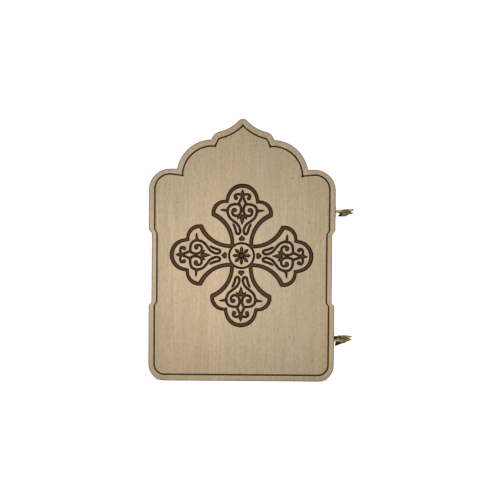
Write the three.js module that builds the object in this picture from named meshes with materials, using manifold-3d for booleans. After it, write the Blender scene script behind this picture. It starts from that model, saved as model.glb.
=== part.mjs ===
// Folding wooden diptych, closed: two equal leaves with an ogee top, an engraved border line and an
// engraved flared cross on the outside, brass hinges at the left edge and hook clasps at the right.
// Millimetres, +Z up, the outside of the front leaf towards -Y. The origin is on the underside of the
// back leaf, in the middle of its width and of its thickness.

import * as THREE from 'three';
import { mergeVertices } from 'three/addons/utils/BufferGeometryUtils.js';
import Module from 'manifold-3d';

const wasm = await Module();
wasm.setup();

// Leaves
const LEAF_WIDTH = 105;
const LEAF_THICKNESS = 9;
const LEAF_GAP = 0.6;
const FOOT_CORNER_RADIUS = 9.2;
const WAIST_INSET = 1.6;
const WAIST_BOTTOM = 43.6;
const WAIST_TOP = 84.25;
const WAIST_STEP_LENGTH = 2.6;
const SHOULDER_HEIGHT = 119.5;
const SHOULDER_RADIUS = 11.9;
const LOBE_CENTRE = new THREE.Vector2(16.85, 115.8);
const LOBE_RADIUS = 20.25;
const OGEE_CORNER_CENTRE = new THREE.Vector2(12.3, 135.35);
const OGEE_CORNER_RADIUS = 5.1;
const OGEE_SIDE_LEAN = 25;
const FLANK_CENTRE = new THREE.Vector2(18.11, 161.53);
const FLANK_RADIUS = 21.65;
const TIP_HEIGHT = 147.75;
const TIP_RADIUS = 3.12;

// Engraving
const ENGRAVED_DEPTH = 0.5;
const CUT_OVERSHOOT = 0.5;
const BORDER_INSET = 3.4;
const BORDER_FOOT_EXTRA = 0.25;
const BORDER_LINE_WIDTH = 0.9;
const BORDER_SHOULDER_RISE = 0.75;
const BORDER_CROWN_DROP = 0.31;
const BORDER_WAIST_INSET = 1.35;
const CROSS_HEIGHT = 70.95;
const CROSS_OFFSET = -0.19;
const CROSS_ROLL = -0.5;
const CROSS_ARMS = 4;
const RING_RADIUS = 7.62;
const RING_WIDTH = 1.15;
const ROSETTE_PETALS = 8;
const ROSETTE_RADIUS = 5.4;
const ROSETTE_PETAL_WIDTH = 2.05;
const ROSETTE_WIDEST = 0.7;
const ROSETTE_EYE_RADIUS = 1.3;
const ARM_LOBE_LEAN = 13;
const ARM_CORNER_FILLET = 0.7;
const ARM_OUTSIDE = {
  flare: { centre: new THREE.Vector2(23.14, 6.3), radius: 16.77 },
  ear: { centre: new THREE.Vector2(9.9, 23.81), radius: 7.43 },
  lobe: { centre: new THREE.Vector2(0, 31.16), radius: 9.31 },
};
const ARM_INSIDE = {
  flare: { centre: new THREE.Vector2(23.49, 6.58), radius: 19.36 },
  ear: { centre: new THREE.Vector2(9.2, 23.6), radius: 5.85 },
  lobe: { centre: new THREE.Vector2(0, 30.7), radius: 7.35 },
};

// Scroll filling of one arm: each stroke runs through a few points right of the arm's axis
const SCROLL_WIDTH = 1.52;
const POINTED_END_WIDTH = 0.1;
const HEART_SCROLL = [
  [1.6, 28.75], [4.2, 28.85], [6.7, 28.1], [8.1, 26.2], [8.1, 23.85], [7.06, 21.4], [4.94, 19.45],
  [2.82, 17.85], [1.41, 15.7], [0.99, 13.6], [1.76, 12.1], [3, 12.5], [3.53, 14.3], [4.06, 15.9],
  [4.7, 17.2], [5.35, 18.25],
];
const SCROLL_TAPER = [...Array(HEART_SCROLL.length - 1).fill(SCROLL_WIDTH), POINTED_END_WIDTH];
const INNER_SPIRAL = [
  [1.85, 29], [0.98, 27.4], [0.72, 25.6], [1.1, 23.85], [2.35, 22.6], [4, 22.4], [5.3, 23.2], [5.55, 24.7],
  [5, 26], [3.9, 26],
];
const TOP_CURL = [[0.35, 33.9], [1.4, 34.35], [3, 34.5], [4.15, 33.8], [4.2, 32.7]];
const TOP_STEM = [[0.15, 33.9], [0.53, 32.8], [1.23, 30.9], [2.1, 29.1]];
const SIDE_SPUR = [[7.9, 24.6], [8.9, 25.2], [10.6, 25.45], [12.35, 25.45]];
const SPUR_TAPER = [3, 1.8, 1.35, 0.6];
const SPIRAL_BALL = { centre: new THREE.Vector2(4.05, 25.5), radius: 1.2 };
const CURL_BALL = { centre: new THREE.Vector2(3.6, 32.3), radius: 1.2 };
const FINIAL = { from: [0, 32.9], to: [0, 37.45], width: 2.1, widest: 0.5 };
const PALMETTE = { from: [0, 23.6], to: [0, 16.9], width: 2.7, widest: 0.36 };
const PALMETTE_SIDE = { from: [0.9, 23.4], to: [2.85, 20.2], width: 1.9, widest: 0.5 };
const HEART = { point: 11.7, width: 3.75, height: 3.5, lobe: 1.2 };
const HEART_SIDE = 20;

// Half width of a pointed petal, as a share of its full width, between its two ends
const PETAL_SWELL = { early: 0.36, widest: 0.5, late: 0.32 };

// Brass
const PLAY = 0.3;
const FITTING_HEIGHTS = { upper: 96.5, lower: 22.8 };
const PIN_RADIUS = 0.4;
const BORE_RADIUS = 0.6;
const KNUCKLE_RADIUS = 1;
const HINGE_LENGTH = 16;
const HINGE_PLATE_WIDTH = 10;
const HINGE_PLATE_THICKNESS = 0.6;
const HINGE_AXIS_OUTSIDE_EDGE = 0.1;
const HINGE_KNUCKLES = 3;
const CLASP_PLATE = { thickness: 0.6, depth: 7, height: 9, belowEdge: 0.1 };
const CLASP_PIN_RADIUS = 0.3;
const CLASP_BORE_RADIUS = 0.5;
const CLASP_KNUCKLE_RADIUS = 0.8;
const CLASP_KNUCKLE_HEIGHT = 3;
const CLASP_PIN_DEPTH = 1.5;
const CLASP_LUG_HEIGHT = 1.6;
const CLASP_WEB_HALF_WIDTH = 0.6;
const CLASP_ARM = {
  length: 11,
  thickness: 1.6,
  rounding: 0.25,
  crownReach: 6.5,
  lowerProngStart: 8.2,
  lowerProngAtTip: 1.25,
  clawWidth: 0.8,
  clawHeight: 0.7,
  slotDepth: 1.4,
  slotHalfWidth: 0.46,
  studInSlot: 0.7,
};
const CLASP_BODIES = {
  upper: {
    neckTop: 1,
    neckDepth: 0.65,
    shoulderReach: 3.4,
    shoulder: 1.08,
    crown: 1.55,
    topAtTip: 1.7,
    clawReach: 2,
    throatReach: 3.9,
    clawDepth: 2.85,
    bellyEnd: 5.7,
    bellyDepth: 2.85,
    lowerProngDepth: 1.6,
  },
  lower: {
    neckTop: 1.3,
    neckDepth: 1.3,
    shoulderReach: 1.3,
    shoulder: 1.75,
    crown: 3,
    topAtTip: 1.6,
    clawReach: 1.05,
    throatReach: 1.3,
    clawDepth: 3.7,
    bellyEnd: 5,
    bellyDepth: 2.85,
    lowerProngDepth: 1.75,
  },
};
const STUD = { shankRadius: 0.36, headRadius: 0.38, reach: 4.2, headLength: 1.6, root: 3 };

// Facets
const ROUND_SIDES = 8;
const OUTLINE_STEPS = 6;
const BORDER_STEPS = 4;
const FRONT_CROSS_STEPS = 4;
const BACK_CROSS_STEPS = 3;
const BALL_SIDES = 6;
const RING_SIDES = 18;
const HEART_STEPS = 3;
const SCROLL_STEPS = 16;
const SPIRAL_STEPS = 10;
const CURL_STEPS = 4;
const STEM_STEPS = 2;
const SPUR_STEPS = 3;
const CLASP_CURVE_STEPS = 4;

// Places that follow from the sizes
const HALF_WIDTH = LEAF_WIDTH / 2;
const BACK_INNER_Y = -LEAF_THICKNESS / 2;
const SEAM_Y = BACK_INNER_Y - LEAF_GAP / 2;
const FRONT_INNER_Y = BACK_INNER_Y - LEAF_GAP;
const FRONT_OUTER_Y = FRONT_INNER_Y - LEAF_THICKNESS;
const BACK_OUTER_Y = LEAF_THICKNESS / 2;
const HINGE_AXIS_X = -HALF_WIDTH - HINGE_AXIS_OUTSIDE_EDGE;
const CLASP_PLATE_OUTER_X = HALF_WIDTH - CLASP_PLATE.belowEdge;
const CLASP_PLATE_INNER_X = CLASP_PLATE_OUTER_X - CLASP_PLATE.thickness;
const CLASP_AXIS_X = CLASP_PLATE_OUTER_X + PLAY + CLASP_KNUCKLE_RADIUS;
const STUD_Y = CLASP_PIN_DEPTH - CLASP_ARM.length + CLASP_ARM.studInSlot;

const WOOD = new THREE.MeshStandardMaterial({ color: 0xbea882, roughness: 0.65, metalness: 0 });
const BRASS = new THREE.MeshStandardMaterial({ color: 0xa8935a, roughness: 0.38, metalness: 1 });
const MERGE_DISTANCE = 1e-4;
const QUARTER_TURN = 90;

// Solids from closed geometries, and back to named meshes
function solid(geometry) {
  const bare = geometry.clone();
  bare.deleteAttribute('normal');
  bare.deleteAttribute('uv');
  const merged = mergeVertices(bare, MERGE_DISTANCE);
  const vertProperties = Float32Array.from(merged.attributes.position.array);
  const triVerts = Uint32Array.from(merged.index.array);
  return new wasm.Manifold(new wasm.Mesh({ numProp: 3, vertProperties, triVerts }));
}

function union(solids) {
  return solids.reduce((whole, piece) => whole.add(piece));
}

function namedMesh(name, body, material) {
  const { vertProperties, triVerts } = body.getMesh();
  const geometry = new THREE.BufferGeometry();
  geometry.setAttribute('position', new THREE.BufferAttribute(Float32Array.from(vertProperties), 3));
  geometry.setIndex(new THREE.BufferAttribute(Uint32Array.from(triVerts), 1));
  geometry.computeVertexNormals();
  const mesh = new THREE.Mesh(geometry, material);
  mesh.name = name;
  return mesh;
}

function box(from, to) {
  const size = new THREE.Vector3().subVectors(to, from);
  const centre = new THREE.Vector3().addVectors(from, to).multiplyScalar(0.5);
  return solid(new THREE.BoxGeometry(size.x, size.y, size.z).translate(centre.x, centre.y, centre.z));
}

function uprightCylinder(radius, x, y, bottom, top) {
  const geometry = new THREE.CylinderGeometry(radius, radius, top - bottom, ROUND_SIDES);
  geometry.rotateX(Math.PI / 2).translate(x, y, (bottom + top) / 2);
  return solid(geometry);
}

// Points of flat shapes
function arc(centre, radius, from, to, steps) {
  const start = THREE.MathUtils.degToRad(from);
  const end = THREE.MathUtils.degToRad(to);
  return new THREE.EllipseCurve(centre.x, centre.y, radius, radius, start, end, to < from).getPoints(steps);
}

function shortArc({ centre, radius }, from, to, steps) {
  const sweep = THREE.MathUtils.euclideanModulo(to - from + 180, 360) - 180;
  return arc(centre, radius, from, from + sweep, steps);
}

function bearing(centre, point) {
  return THREE.MathUtils.radToDeg(Math.atan2(point.y - centre.y, point.x - centre.x));
}

function circlesMeet(a, b, side) {
  const along = new THREE.Vector2().subVectors(b.centre, a.centre);
  const distance = along.length();
  along.divideScalar(distance);
  const reach = (a.radius ** 2 - b.radius ** 2 + distance ** 2) / (2 * distance);
  const height = side * Math.sqrt(a.radius ** 2 - reach ** 2);
  return new THREE.Vector2(
    a.centre.x + reach * along.x - height * along.y,
    a.centre.y + reach * along.y + height * along.x,
  );
}

function lineMeetsCircle(start, direction, circle) {
  const offset = new THREE.Vector2().subVectors(start, circle.centre);
  const along = offset.dot(direction);
  const travel = -along - Math.sqrt(along ** 2 - offset.lengthSq() + circle.radius ** 2);
  return start.clone().addScaledVector(direction, travel);
}

// A straight side leaves a circle at its right, leaning outwards on its way down to another circle
function leaningSideMeets({ centre, radius }, leanDegrees, target) {
  const lean = THREE.MathUtils.degToRad(leanDegrees);
  const start = new THREE.Vector2(Math.cos(lean), Math.sin(lean)).multiplyScalar(radius).add(centre);
  const down = new THREE.Vector2(Math.sin(lean), -Math.cos(lean));
  return lineMeetsCircle(start, down, target);
}

function mirrored(points) {
  return points.map((point) => new THREE.Vector2(-point.x, point.y)).reverse();
}

function bothHalves(rightHalf) {
  const isOffAxis = (point) => Math.abs(point.x) > MERGE_DISTANCE;
  return [...rightHalf, ...mirrored(rightHalf).filter(isOffAxis)];
}

function turned(points, degrees) {
  const angle = THREE.MathUtils.degToRad(degrees);
  return points.map((point) => point.clone().rotateAround(new THREE.Vector2(), angle));
}

// Outline of a leaf, or a line set in from it by the same amount all round
function leafOutline(inset, steps) {
  const side = HALF_WIDTH - inset;
  const foot = inset > 0 ? inset + BORDER_FOOT_EXTRA : 0;
  const footRadius = FOOT_CORNER_RADIUS - inset;
  const footCentre = new THREE.Vector2(HALF_WIDTH - FOOT_CORNER_RADIUS, footRadius + foot);
  const rise = inset > 0 ? BORDER_SHOULDER_RISE : 0;
  const shoulderCentre = new THREE.Vector2(
    HALF_WIDTH - SHOULDER_RADIUS,
    SHOULDER_HEIGHT - SHOULDER_RADIUS + rise,
  );
  const shoulderTop = SHOULDER_HEIGHT - inset;
  const lobe = { centre: LOBE_CENTRE, radius: LOBE_RADIUS - inset };
  const corner = { centre: OGEE_CORNER_CENTRE, radius: OGEE_CORNER_RADIUS - inset };
  const flank = { centre: FLANK_CENTRE, radius: FLANK_RADIUS + inset };

  const lobeFoot = Math.sqrt(lobe.radius ** 2 - (shoulderTop - lobe.centre.y) ** 2) + lobe.centre.x;
  const notch = new THREE.Vector2(lobeFoot, shoulderTop);
  const cusp = leaningSideMeets(corner, OGEE_SIDE_LEAN, lobe);
  const flankStart = bearing(flank.centre, corner.centre);

  const halfStep = WAIST_STEP_LENGTH / 2;
  const waist = side - (inset > 0 ? BORDER_WAIST_INSET : WAIST_INSET);
  const lower = [
    ...arc(footCentre, footRadius, -90, 0, steps),
    new THREE.Vector2(side, WAIST_BOTTOM - halfStep),
    new THREE.Vector2(waist, WAIST_BOTTOM + halfStep),
    new THREE.Vector2(waist, WAIST_TOP - halfStep),
    new THREE.Vector2(side, WAIST_TOP + halfStep),
  ];
  const crown = [
    ...arc(shoulderCentre, SHOULDER_RADIUS - inset, 0, 90, steps),
    ...arc(lobe.centre, lobe.radius, bearing(lobe.centre, notch), bearing(lobe.centre, cusp), steps),
    ...arc(corner.centre, corner.radius, OGEE_SIDE_LEAN, bearing(corner.centre, flank.centre), steps),
  ];
  if (inset > 0) {
    const apex = flank.centre.y - Math.sqrt(flank.radius ** 2 - flank.centre.x ** 2);
    const end = bearing(flank.centre, new THREE.Vector2(0, apex));
    crown.push(...arc(flank.centre, flank.radius, flankStart, end, steps).slice(1));
    crown.forEach((point) => point.setY(point.y - BORDER_CROWN_DROP));
  } else {
    const tip = new THREE.Vector2(0, TIP_HEIGHT - TIP_RADIUS);
    const end = bearing(flank.centre, tip);
    crown.push(...arc(flank.centre, flank.radius, flankStart, end, steps).slice(1));
    crown.push(...arc(tip, TIP_RADIUS, end + 180, 90, steps / 2).slice(1));
  }
  return bothHalves([...lower, ...crown]);
}

// Flat shapes stand upright in the XZ plane, from y = 0 towards -Y
function uprightPrism(outline, depth, holes = []) {
  const shape = new THREE.Shape(outline);
  shape.holes = holes.map((hole) => new THREE.Path(hole));
  const geometry = new THREE.ExtrudeGeometry(shape, { depth, bevelEnabled: false });
  return solid(geometry.rotateX(Math.PI / 2));
}

function engraving(outline, holes) {
  return uprightPrism(outline, ENGRAVED_DEPTH + CUT_OVERSHOOT, holes);
}

// Flared cross: one arm's edge runs from its foot over the ear and up to the top of its lobe
function armEdge({ flare, ear, lobe }, foot, fillet, steps) {
  const cusp = leaningSideMeets(lobe, ARM_LOBE_LEAN, ear);
  const grownFlare = { centre: flare.centre, radius: flare.radius + fillet };
  const shrunkEar = { centre: ear.centre, radius: ear.radius - fillet };
  const corner = circlesMeet(grownFlare, shrunkEar, -1);
  const flareEnd = bearing(flare.centre, corner);
  const earStart = bearing(ear.centre, corner);
  const round = { centre: corner, radius: fillet };
  const rounding = fillet > 0 ? shortArc(round, flareEnd - 180, earStart, 2).slice(1, -1) : [];
  return [
    ...shortArc(flare, bearing(flare.centre, foot), flareEnd, steps),
    ...rounding,
    ...shortArc(ear, earStart, bearing(ear.centre, cusp), steps).slice(fillet > 0 ? 0 : 1),
    ...shortArc(lobe, ARM_LOBE_LEAN, 90, steps),
  ];
}

function crossOutline(steps) {
  const { centre, radius } = ARM_OUTSIDE.flare;
  const foot = new THREE.Vector2(centre.x - radius, centre.x - radius);
  const arm = bothHalves(armEdge(ARM_OUTSIDE, foot, ARM_CORNER_FILLET, steps));
  const arms = Array.from({ length: CROSS_ARMS }, (_, index) => turned(arm, index * QUARTER_TURN));
  return arms.flatMap((points) => points.slice(0, -1));
}

function armField(steps) {
  const ring = { centre: new THREE.Vector2(), radius: RING_RADIUS };
  const foot = circlesMeet(ARM_INSIDE.flare, ring, -1);
  const footBearing = bearing(ring.centre, foot);
  const base = arc(ring.centre, ring.radius, 180 - footBearing, footBearing, steps).slice(1, -1);
  return [...bothHalves(armEdge(ARM_INSIDE, foot, 0, steps)), ...base];
}

function crossBand(steps) {
  const field = armField(steps);
  const fields = Array.from({ length: CROSS_ARMS }, (_, index) => turned(field, index * QUARTER_TURN));
  const eye = arc(new THREE.Vector2(), RING_RADIUS - RING_WIDTH, 0, 360, RING_SIDES).slice(1);
  return engraving(crossOutline(steps), [...fields, eye]);
}

// A brush stroke along a smooth line, its width given at even places along it
function stroke(points, widths, steps) {
  const line = new THREE.SplineCurve(points.map(([x, y]) => new THREE.Vector2(x, y))).getPoints(steps);
  const left = [];
  const right = [];
  line.forEach((point, index) => {
    const before = line[Math.max(index - 1, 0)];
    const after = line[Math.min(index + 1, steps)];
    const along = new THREE.Vector2().subVectors(after, before).normalize();
    const place = (index / steps) * (widths.length - 1);
    const step = Math.min(Math.floor(place), widths.length - 2);
    const half = THREE.MathUtils.lerp(widths[step], widths[step + 1], place - step) / 2;
    left.push(new THREE.Vector2(point.x - along.y * half, point.y + along.x * half));
    right.push(new THREE.Vector2(point.x + along.y * half, point.y - along.x * half));
  });
  return [...left, ...right.reverse()];
}

function leafShape({ from, to, width, widest }) {
  const start = new THREE.Vector2(...from);
  const along = new THREE.Vector2(...to).sub(start);
  const across = new THREE.Vector2(-along.y, along.x).normalize().multiplyScalar(width);
  const swell = [
    [widest / 2, PETAL_SWELL.early],
    [widest, PETAL_SWELL.widest],
    [(1 + widest) / 2, PETAL_SWELL.late],
  ];
  const edge = (side) => swell.map(([travel, half]) =>
    start.clone().addScaledVector(along, travel).addScaledVector(across, side * half));
  const tip = start.clone().add(along);
  return [start, ...edge(-1), tip, ...edge(1).reverse()];
}

// A heart with its point up and its two lobes towards the ring
function heartShape({ point, width, height, lobe }) {
  const centre = new THREE.Vector2(width / 2 - lobe, point - height + lobe);
  const cleft = THREE.MathUtils.radToDeg(Math.acos(centre.x / lobe)) - 180;
  const half = [...arc(centre, lobe, cleft, HEART_SIDE, HEART_STEPS), new THREE.Vector2(0, point)];
  return bothHalves(half);
}

function ball({ centre, radius }) {
  return arc(centre, radius, 0, 360, BALL_SIDES).slice(1);
}

// Everything engraved inside one arm, pointing up
function armFilling() {
  const even = [SCROLL_WIDTH, SCROLL_WIDTH];
  const rightSide = [
    stroke(HEART_SCROLL, SCROLL_TAPER, SCROLL_STEPS),
    stroke(INNER_SPIRAL, even, SPIRAL_STEPS),
    stroke(TOP_CURL, even, CURL_STEPS),
    stroke(TOP_STEM, even, STEM_STEPS),
    stroke(SIDE_SPUR, SPUR_TAPER, SPUR_STEPS),
    leafShape(PALMETTE_SIDE),
    ball(SPIRAL_BALL),
    ball(CURL_BALL),
  ];
  const onAxis = [leafShape(FINIAL), leafShape(PALMETTE), heartShape(HEART)];
  return [...rightSide, ...rightSide.map(mirrored), ...onAxis];
}

function rosette() {
  const petal = {
    from: [0, 0],
    to: [0, ROSETTE_RADIUS],
    width: ROSETTE_PETAL_WIDTH,
    widest: ROSETTE_WIDEST,
  };
  const petals = Array.from({ length: ROSETTE_PETALS }, (_, index) =>
    turned(leafShape(petal), (index * 360) / ROSETTE_PETALS));
  return [...petals, ball({ centre: new THREE.Vector2(), radius: ROSETTE_EYE_RADIUS })];
}

function crossFilling() {
  const arm = armFilling();
  const arms = Array.from({ length: CROSS_ARMS }, (_, index) =>
    arm.map((points) => turned(points, index * QUARTER_TURN)));
  return union([...arms.flat(), ...rosette()].map((points) => engraving(points)));
}

function borderLine() {
  const outer = leafOutline(BORDER_INSET - BORDER_LINE_WIDTH / 2, BORDER_STEPS);
  const inner = leafOutline(BORDER_INSET + BORDER_LINE_WIDTH / 2, BORDER_STEPS);
  return engraving(outer, [inner]);
}

// Cutters start in front of the face at y and reach the engraved depth below it
function onFrontFace(cutter) {
  return cutter.translate([0, FRONT_OUTER_Y + ENGRAVED_DEPTH, 0]);
}

function onBackFace(cutter) {
  return cutter.translate([0, BACK_OUTER_Y + CUT_OVERSHOOT, 0]);
}

function placeCross(cutter, roll) {
  return cutter.rotate([0, -roll, 0]).translate([CROSS_OFFSET, 0, CROSS_HEIGHT]);
}

// Leaves
function leafBlank(outerY) {
  return uprightPrism(leafOutline(0, OUTLINE_STEPS), LEAF_THICKNESS).translate([0, outerY, 0]);
}

function hingeSeat(height, innerY, towardsWood) {
  const bottom = height - HINGE_LENGTH / 2 - PLAY;
  const top = height + HINGE_LENGTH / 2 + PLAY;
  const seatDepth = innerY + towardsWood * (HINGE_PLATE_THICKNESS + PLAY);
  const opening = innerY - towardsWood * CUT_OVERSHOOT;
  const pocket = box(
    new THREE.Vector3(HINGE_AXIS_X - PLAY, Math.min(seatDepth, opening), bottom),
    new THREE.Vector3(HINGE_AXIS_X + HINGE_PLATE_WIDTH + PLAY, Math.max(seatDepth, opening), top),
  );
  return pocket.add(uprightCylinder(KNUCKLE_RADIUS + PLAY, HINGE_AXIS_X, SEAM_Y, bottom, top));
}

function studHole(height) {
  const radius = STUD.shankRadius + PLAY;
  const geometry = new THREE.CylinderGeometry(radius, radius, STUD.root * 2, ROUND_SIDES);
  return solid(geometry.rotateZ(Math.PI / 2).translate(HALF_WIDTH, STUD_Y, height));
}

function claspSeat(height) {
  const halfDepth = CLASP_PLATE.depth / 2 + PLAY;
  const halfHeight = CLASP_PLATE.height / 2 + PLAY;
  return box(
    new THREE.Vector3(CLASP_PLATE_INNER_X - PLAY, -halfDepth, height - halfHeight),
    new THREE.Vector3(HALF_WIDTH + CUT_OVERSHOOT, halfDepth, height + halfHeight),
  );
}

function frontLeaf() {
  const heights = Object.values(FITTING_HEIGHTS);
  const cuts = [
    onFrontFace(borderLine()),
    onFrontFace(placeCross(crossBand(FRONT_CROSS_STEPS), CROSS_ROLL)),
    onFrontFace(placeCross(crossFilling(), CROSS_ROLL)),
    ...heights.map((height) => hingeSeat(height, FRONT_INNER_Y, -1)),
    ...heights.map((height) => studHole(height)),
  ];
  return leafBlank(FRONT_INNER_Y).subtract(union(cuts));
}

function backLeaf() {
  const heights = Object.values(FITTING_HEIGHTS);
  const cuts = [
    onBackFace(borderLine()),
    onBackFace(placeCross(crossBand(BACK_CROSS_STEPS), 0)),
    ...heights.map((height) => hingeSeat(height, BACK_INNER_Y, 1)),
    ...heights.map((height) => claspSeat(height)),
  ];
  return leafBlank(BACK_OUTER_Y).subtract(union(cuts));
}

// Hinges: three knuckles on one pin, the outer two on the front plate and the middle one on the back plate
function hingePlate(height, innerY, towardsWood, isMine) {
  const pitch = HINGE_LENGTH / HINGE_KNUCKLES;
  const bottom = height - HINGE_LENGTH / 2;
  const plateBack = innerY + towardsWood * HINGE_PLATE_THICKNESS;
  const low = Math.min(innerY, plateBack);
  const high = Math.max(innerY, plateBack);
  const pieces = [box(
    new THREE.Vector3(HINGE_AXIS_X + KNUCKLE_RADIUS + PLAY, low, bottom),
    new THREE.Vector3(HINGE_AXIS_X + HINGE_PLATE_WIDTH, high, bottom + HINGE_LENGTH),
  )];
  for (let index = 0; index < HINGE_KNUCKLES; index += 1) {
    if (isMine(index)) {
      const from = bottom + index * pitch + (index > 0 ? PLAY / 2 : 0);
      const to = bottom + (index + 1) * pitch - (index < HINGE_KNUCKLES - 1 ? PLAY / 2 : 0);
      pieces.push(uprightCylinder(KNUCKLE_RADIUS, HINGE_AXIS_X, SEAM_Y, from, to));
      pieces.push(box(
        new THREE.Vector3(HINGE_AXIS_X, low, from),
        new THREE.Vector3(HINGE_AXIS_X + KNUCKLE_RADIUS + PLAY * 2, high, to),
      ));
    }
  }
  const top = bottom + HINGE_LENGTH;
  const bore = uprightCylinder(BORE_RADIUS, HINGE_AXIS_X, SEAM_Y, bottom - PLAY, top + PLAY);
  return union(pieces).subtract(bore);
}

function hingePin(height) {
  const half = HINGE_LENGTH / 2;
  return uprightCylinder(PIN_RADIUS, HINGE_AXIS_X, SEAM_Y, height - half, height + half);
}

// Clasps: a plate with two lugs let into the back leaf's edge, an arm on an upright pin, a stud to catch
function claspPlate(height) {
  const half = CLASP_PLATE.height / 2;
  const plate = box(
    new THREE.Vector3(CLASP_PLATE_INNER_X, -CLASP_PLATE.depth / 2, height - half),
    new THREE.Vector3(CLASP_PLATE_OUTER_X, CLASP_PLATE.depth / 2, height + half),
  );
  const lugs = [-1, 1].flatMap((side) => {
    const near = height + side * (CLASP_KNUCKLE_HEIGHT / 2 + PLAY / 2);
    const far = near + side * CLASP_LUG_HEIGHT;
    const bottom = Math.min(near, far);
    const top = Math.max(near, far);
    const web = box(
      new THREE.Vector3(CLASP_PLATE_INNER_X, CLASP_PIN_DEPTH - CLASP_WEB_HALF_WIDTH, bottom),
      new THREE.Vector3(CLASP_AXIS_X, CLASP_PIN_DEPTH + CLASP_WEB_HALF_WIDTH, top),
    );
    return [web, uprightCylinder(CLASP_KNUCKLE_RADIUS, CLASP_AXIS_X, CLASP_PIN_DEPTH, bottom, top)];
  });
  const [bottom, top] = [height - half, height + half];
  const bore = uprightCylinder(CLASP_BORE_RADIUS, CLASP_AXIS_X, CLASP_PIN_DEPTH, bottom, top);
  return union([plate, ...lugs]).subtract(bore);
}

function claspPin(height) {
  const half = CLASP_KNUCKLE_HEIGHT / 2 + PLAY / 2 + CLASP_LUG_HEIGHT;
  return uprightCylinder(CLASP_PIN_RADIUS, CLASP_AXIS_X, CLASP_PIN_DEPTH, height - half, height + half);
}

// Side view of an arm: a neck, a claw and belly below, two prongs at the tip and a bowed back
function claspArmOutline(body) {
  const arm = CLASP_ARM;
  const slotBottom = arm.length - arm.slotDepth;
  const clawTop = body.clawDepth - arm.clawHeight;
  const throat = (body.neckDepth + clawTop) / 2;
  const bellyTurn = (body.bellyEnd + arm.lowerProngStart) / 2;
  const shape = new THREE.Shape();
  shape.moveTo(0, -body.neckDepth);
  shape.lineTo(body.clawReach, -body.neckDepth);
  shape.quadraticCurveTo(body.throatReach, -throat, body.clawReach, -clawTop);
  shape.lineTo(body.clawReach, -body.clawDepth);
  shape.lineTo(body.clawReach + arm.clawWidth, -body.clawDepth);
  shape.lineTo(body.bellyEnd, -body.bellyDepth);
  shape.quadraticCurveTo(bellyTurn, -body.bellyDepth, arm.lowerProngStart, -body.lowerProngDepth);
  shape.lineTo(arm.length, -arm.lowerProngAtTip);
  shape.lineTo(arm.length, -arm.slotHalfWidth);
  shape.quadraticCurveTo(slotBottom, -arm.slotHalfWidth, slotBottom, 0);
  shape.quadraticCurveTo(slotBottom, arm.slotHalfWidth, arm.length, arm.slotHalfWidth);
  shape.lineTo(arm.length, body.topAtTip);
  shape.quadraticCurveTo(arm.crownReach, body.crown, body.shoulderReach, body.shoulder);
  shape.lineTo(body.clawReach, body.neckTop);
  shape.lineTo(0, body.neckTop);
  return shape;
}

function claspArm(height, body) {
  const straight = CLASP_ARM.thickness - 2 * CLASP_ARM.rounding;
  const geometry = new THREE.ExtrudeGeometry(claspArmOutline(body), {
    depth: straight,
    curveSegments: CLASP_CURVE_STEPS,
    bevelEnabled: true,
    bevelThickness: CLASP_ARM.rounding,
    bevelSize: CLASP_ARM.rounding,
    bevelOffset: -CLASP_ARM.rounding,
    bevelSegments: 1,
  });
  geometry.rotateX(Math.PI / 2).translate(CLASP_AXIS_X, CLASP_PIN_DEPTH + straight / 2, height);
  const half = CLASP_KNUCKLE_HEIGHT / 2 - PLAY / 2;
  const bottom = height - half;
  const top = height + half;
  const knuckle = uprightCylinder(CLASP_KNUCKLE_RADIUS, CLASP_AXIS_X, CLASP_PIN_DEPTH, bottom, top);
  const bore = uprightCylinder(CLASP_BORE_RADIUS, CLASP_AXIS_X, CLASP_PIN_DEPTH, bottom - PLAY, top + PLAY);
  return solid(geometry).add(knuckle).subtract(bore);
}

// The stud is turned: a shank sunk in the front leaf's edge and a rounded head
function keeperStud(height) {
  const end = STUD.root + STUD.reach;
  const headStart = end - STUD.headLength;
  const dome = new THREE.QuadraticBezierCurve(
    new THREE.Vector2(STUD.headRadius, end - STUD.headLength / 2),
    new THREE.Vector2(STUD.headRadius, end),
    new THREE.Vector2(0, end),
  );
  const profile = [
    new THREE.Vector2(0, PLAY),
    new THREE.Vector2(STUD.shankRadius, PLAY),
    new THREE.Vector2(STUD.shankRadius, headStart),
    new THREE.Vector2(STUD.headRadius, headStart),
    ...dome.getPoints(2),
  ];
  const geometry = new THREE.LatheGeometry(profile, ROUND_SIDES);
  return solid(geometry.rotateZ(-Math.PI / 2).translate(HALF_WIDTH - STUD.root, STUD_Y, height));
}

const diptych = new THREE.Group();
diptych.add(namedMesh('front_leaf', frontLeaf(), WOOD));
diptych.add(namedMesh('back_leaf', backLeaf(), WOOD));
for (const [place, height] of Object.entries(FITTING_HEIGHTS)) {
  const onFront = hingePlate(height, FRONT_INNER_Y, -1, (index) => index !== 1);
  const onBack = hingePlate(height, BACK_INNER_Y, 1, (index) => index === 1);
  diptych.add(namedMesh(`${place}_hinge_front_plate`, onFront, BRASS));
  diptych.add(namedMesh(`${place}_hinge_back_plate`, onBack, BRASS));
  diptych.add(namedMesh(`${place}_hinge_pin`, hingePin(height), BRASS));
  diptych.add(namedMesh(`${place}_clasp_plate`, claspPlate(height), BRASS));
  diptych.add(namedMesh(`${place}_clasp_arm`, claspArm(height, CLASP_BODIES[place]), BRASS));
  diptych.add(namedMesh(`${place}_clasp_pin`, claspPin(height), BRASS));
  diptych.add(namedMesh(`${place}_keeper_stud`, keeperStud(height), BRASS));
}

export default diptych;
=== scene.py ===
"""Folding wooden diptych: two engraved leaves, brass hinges and open hook clasps.

Flat shapes are worked out in millimetres, x to the right and z up, as seen from the front.
"""

import math
from collections import namedtuple

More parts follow.
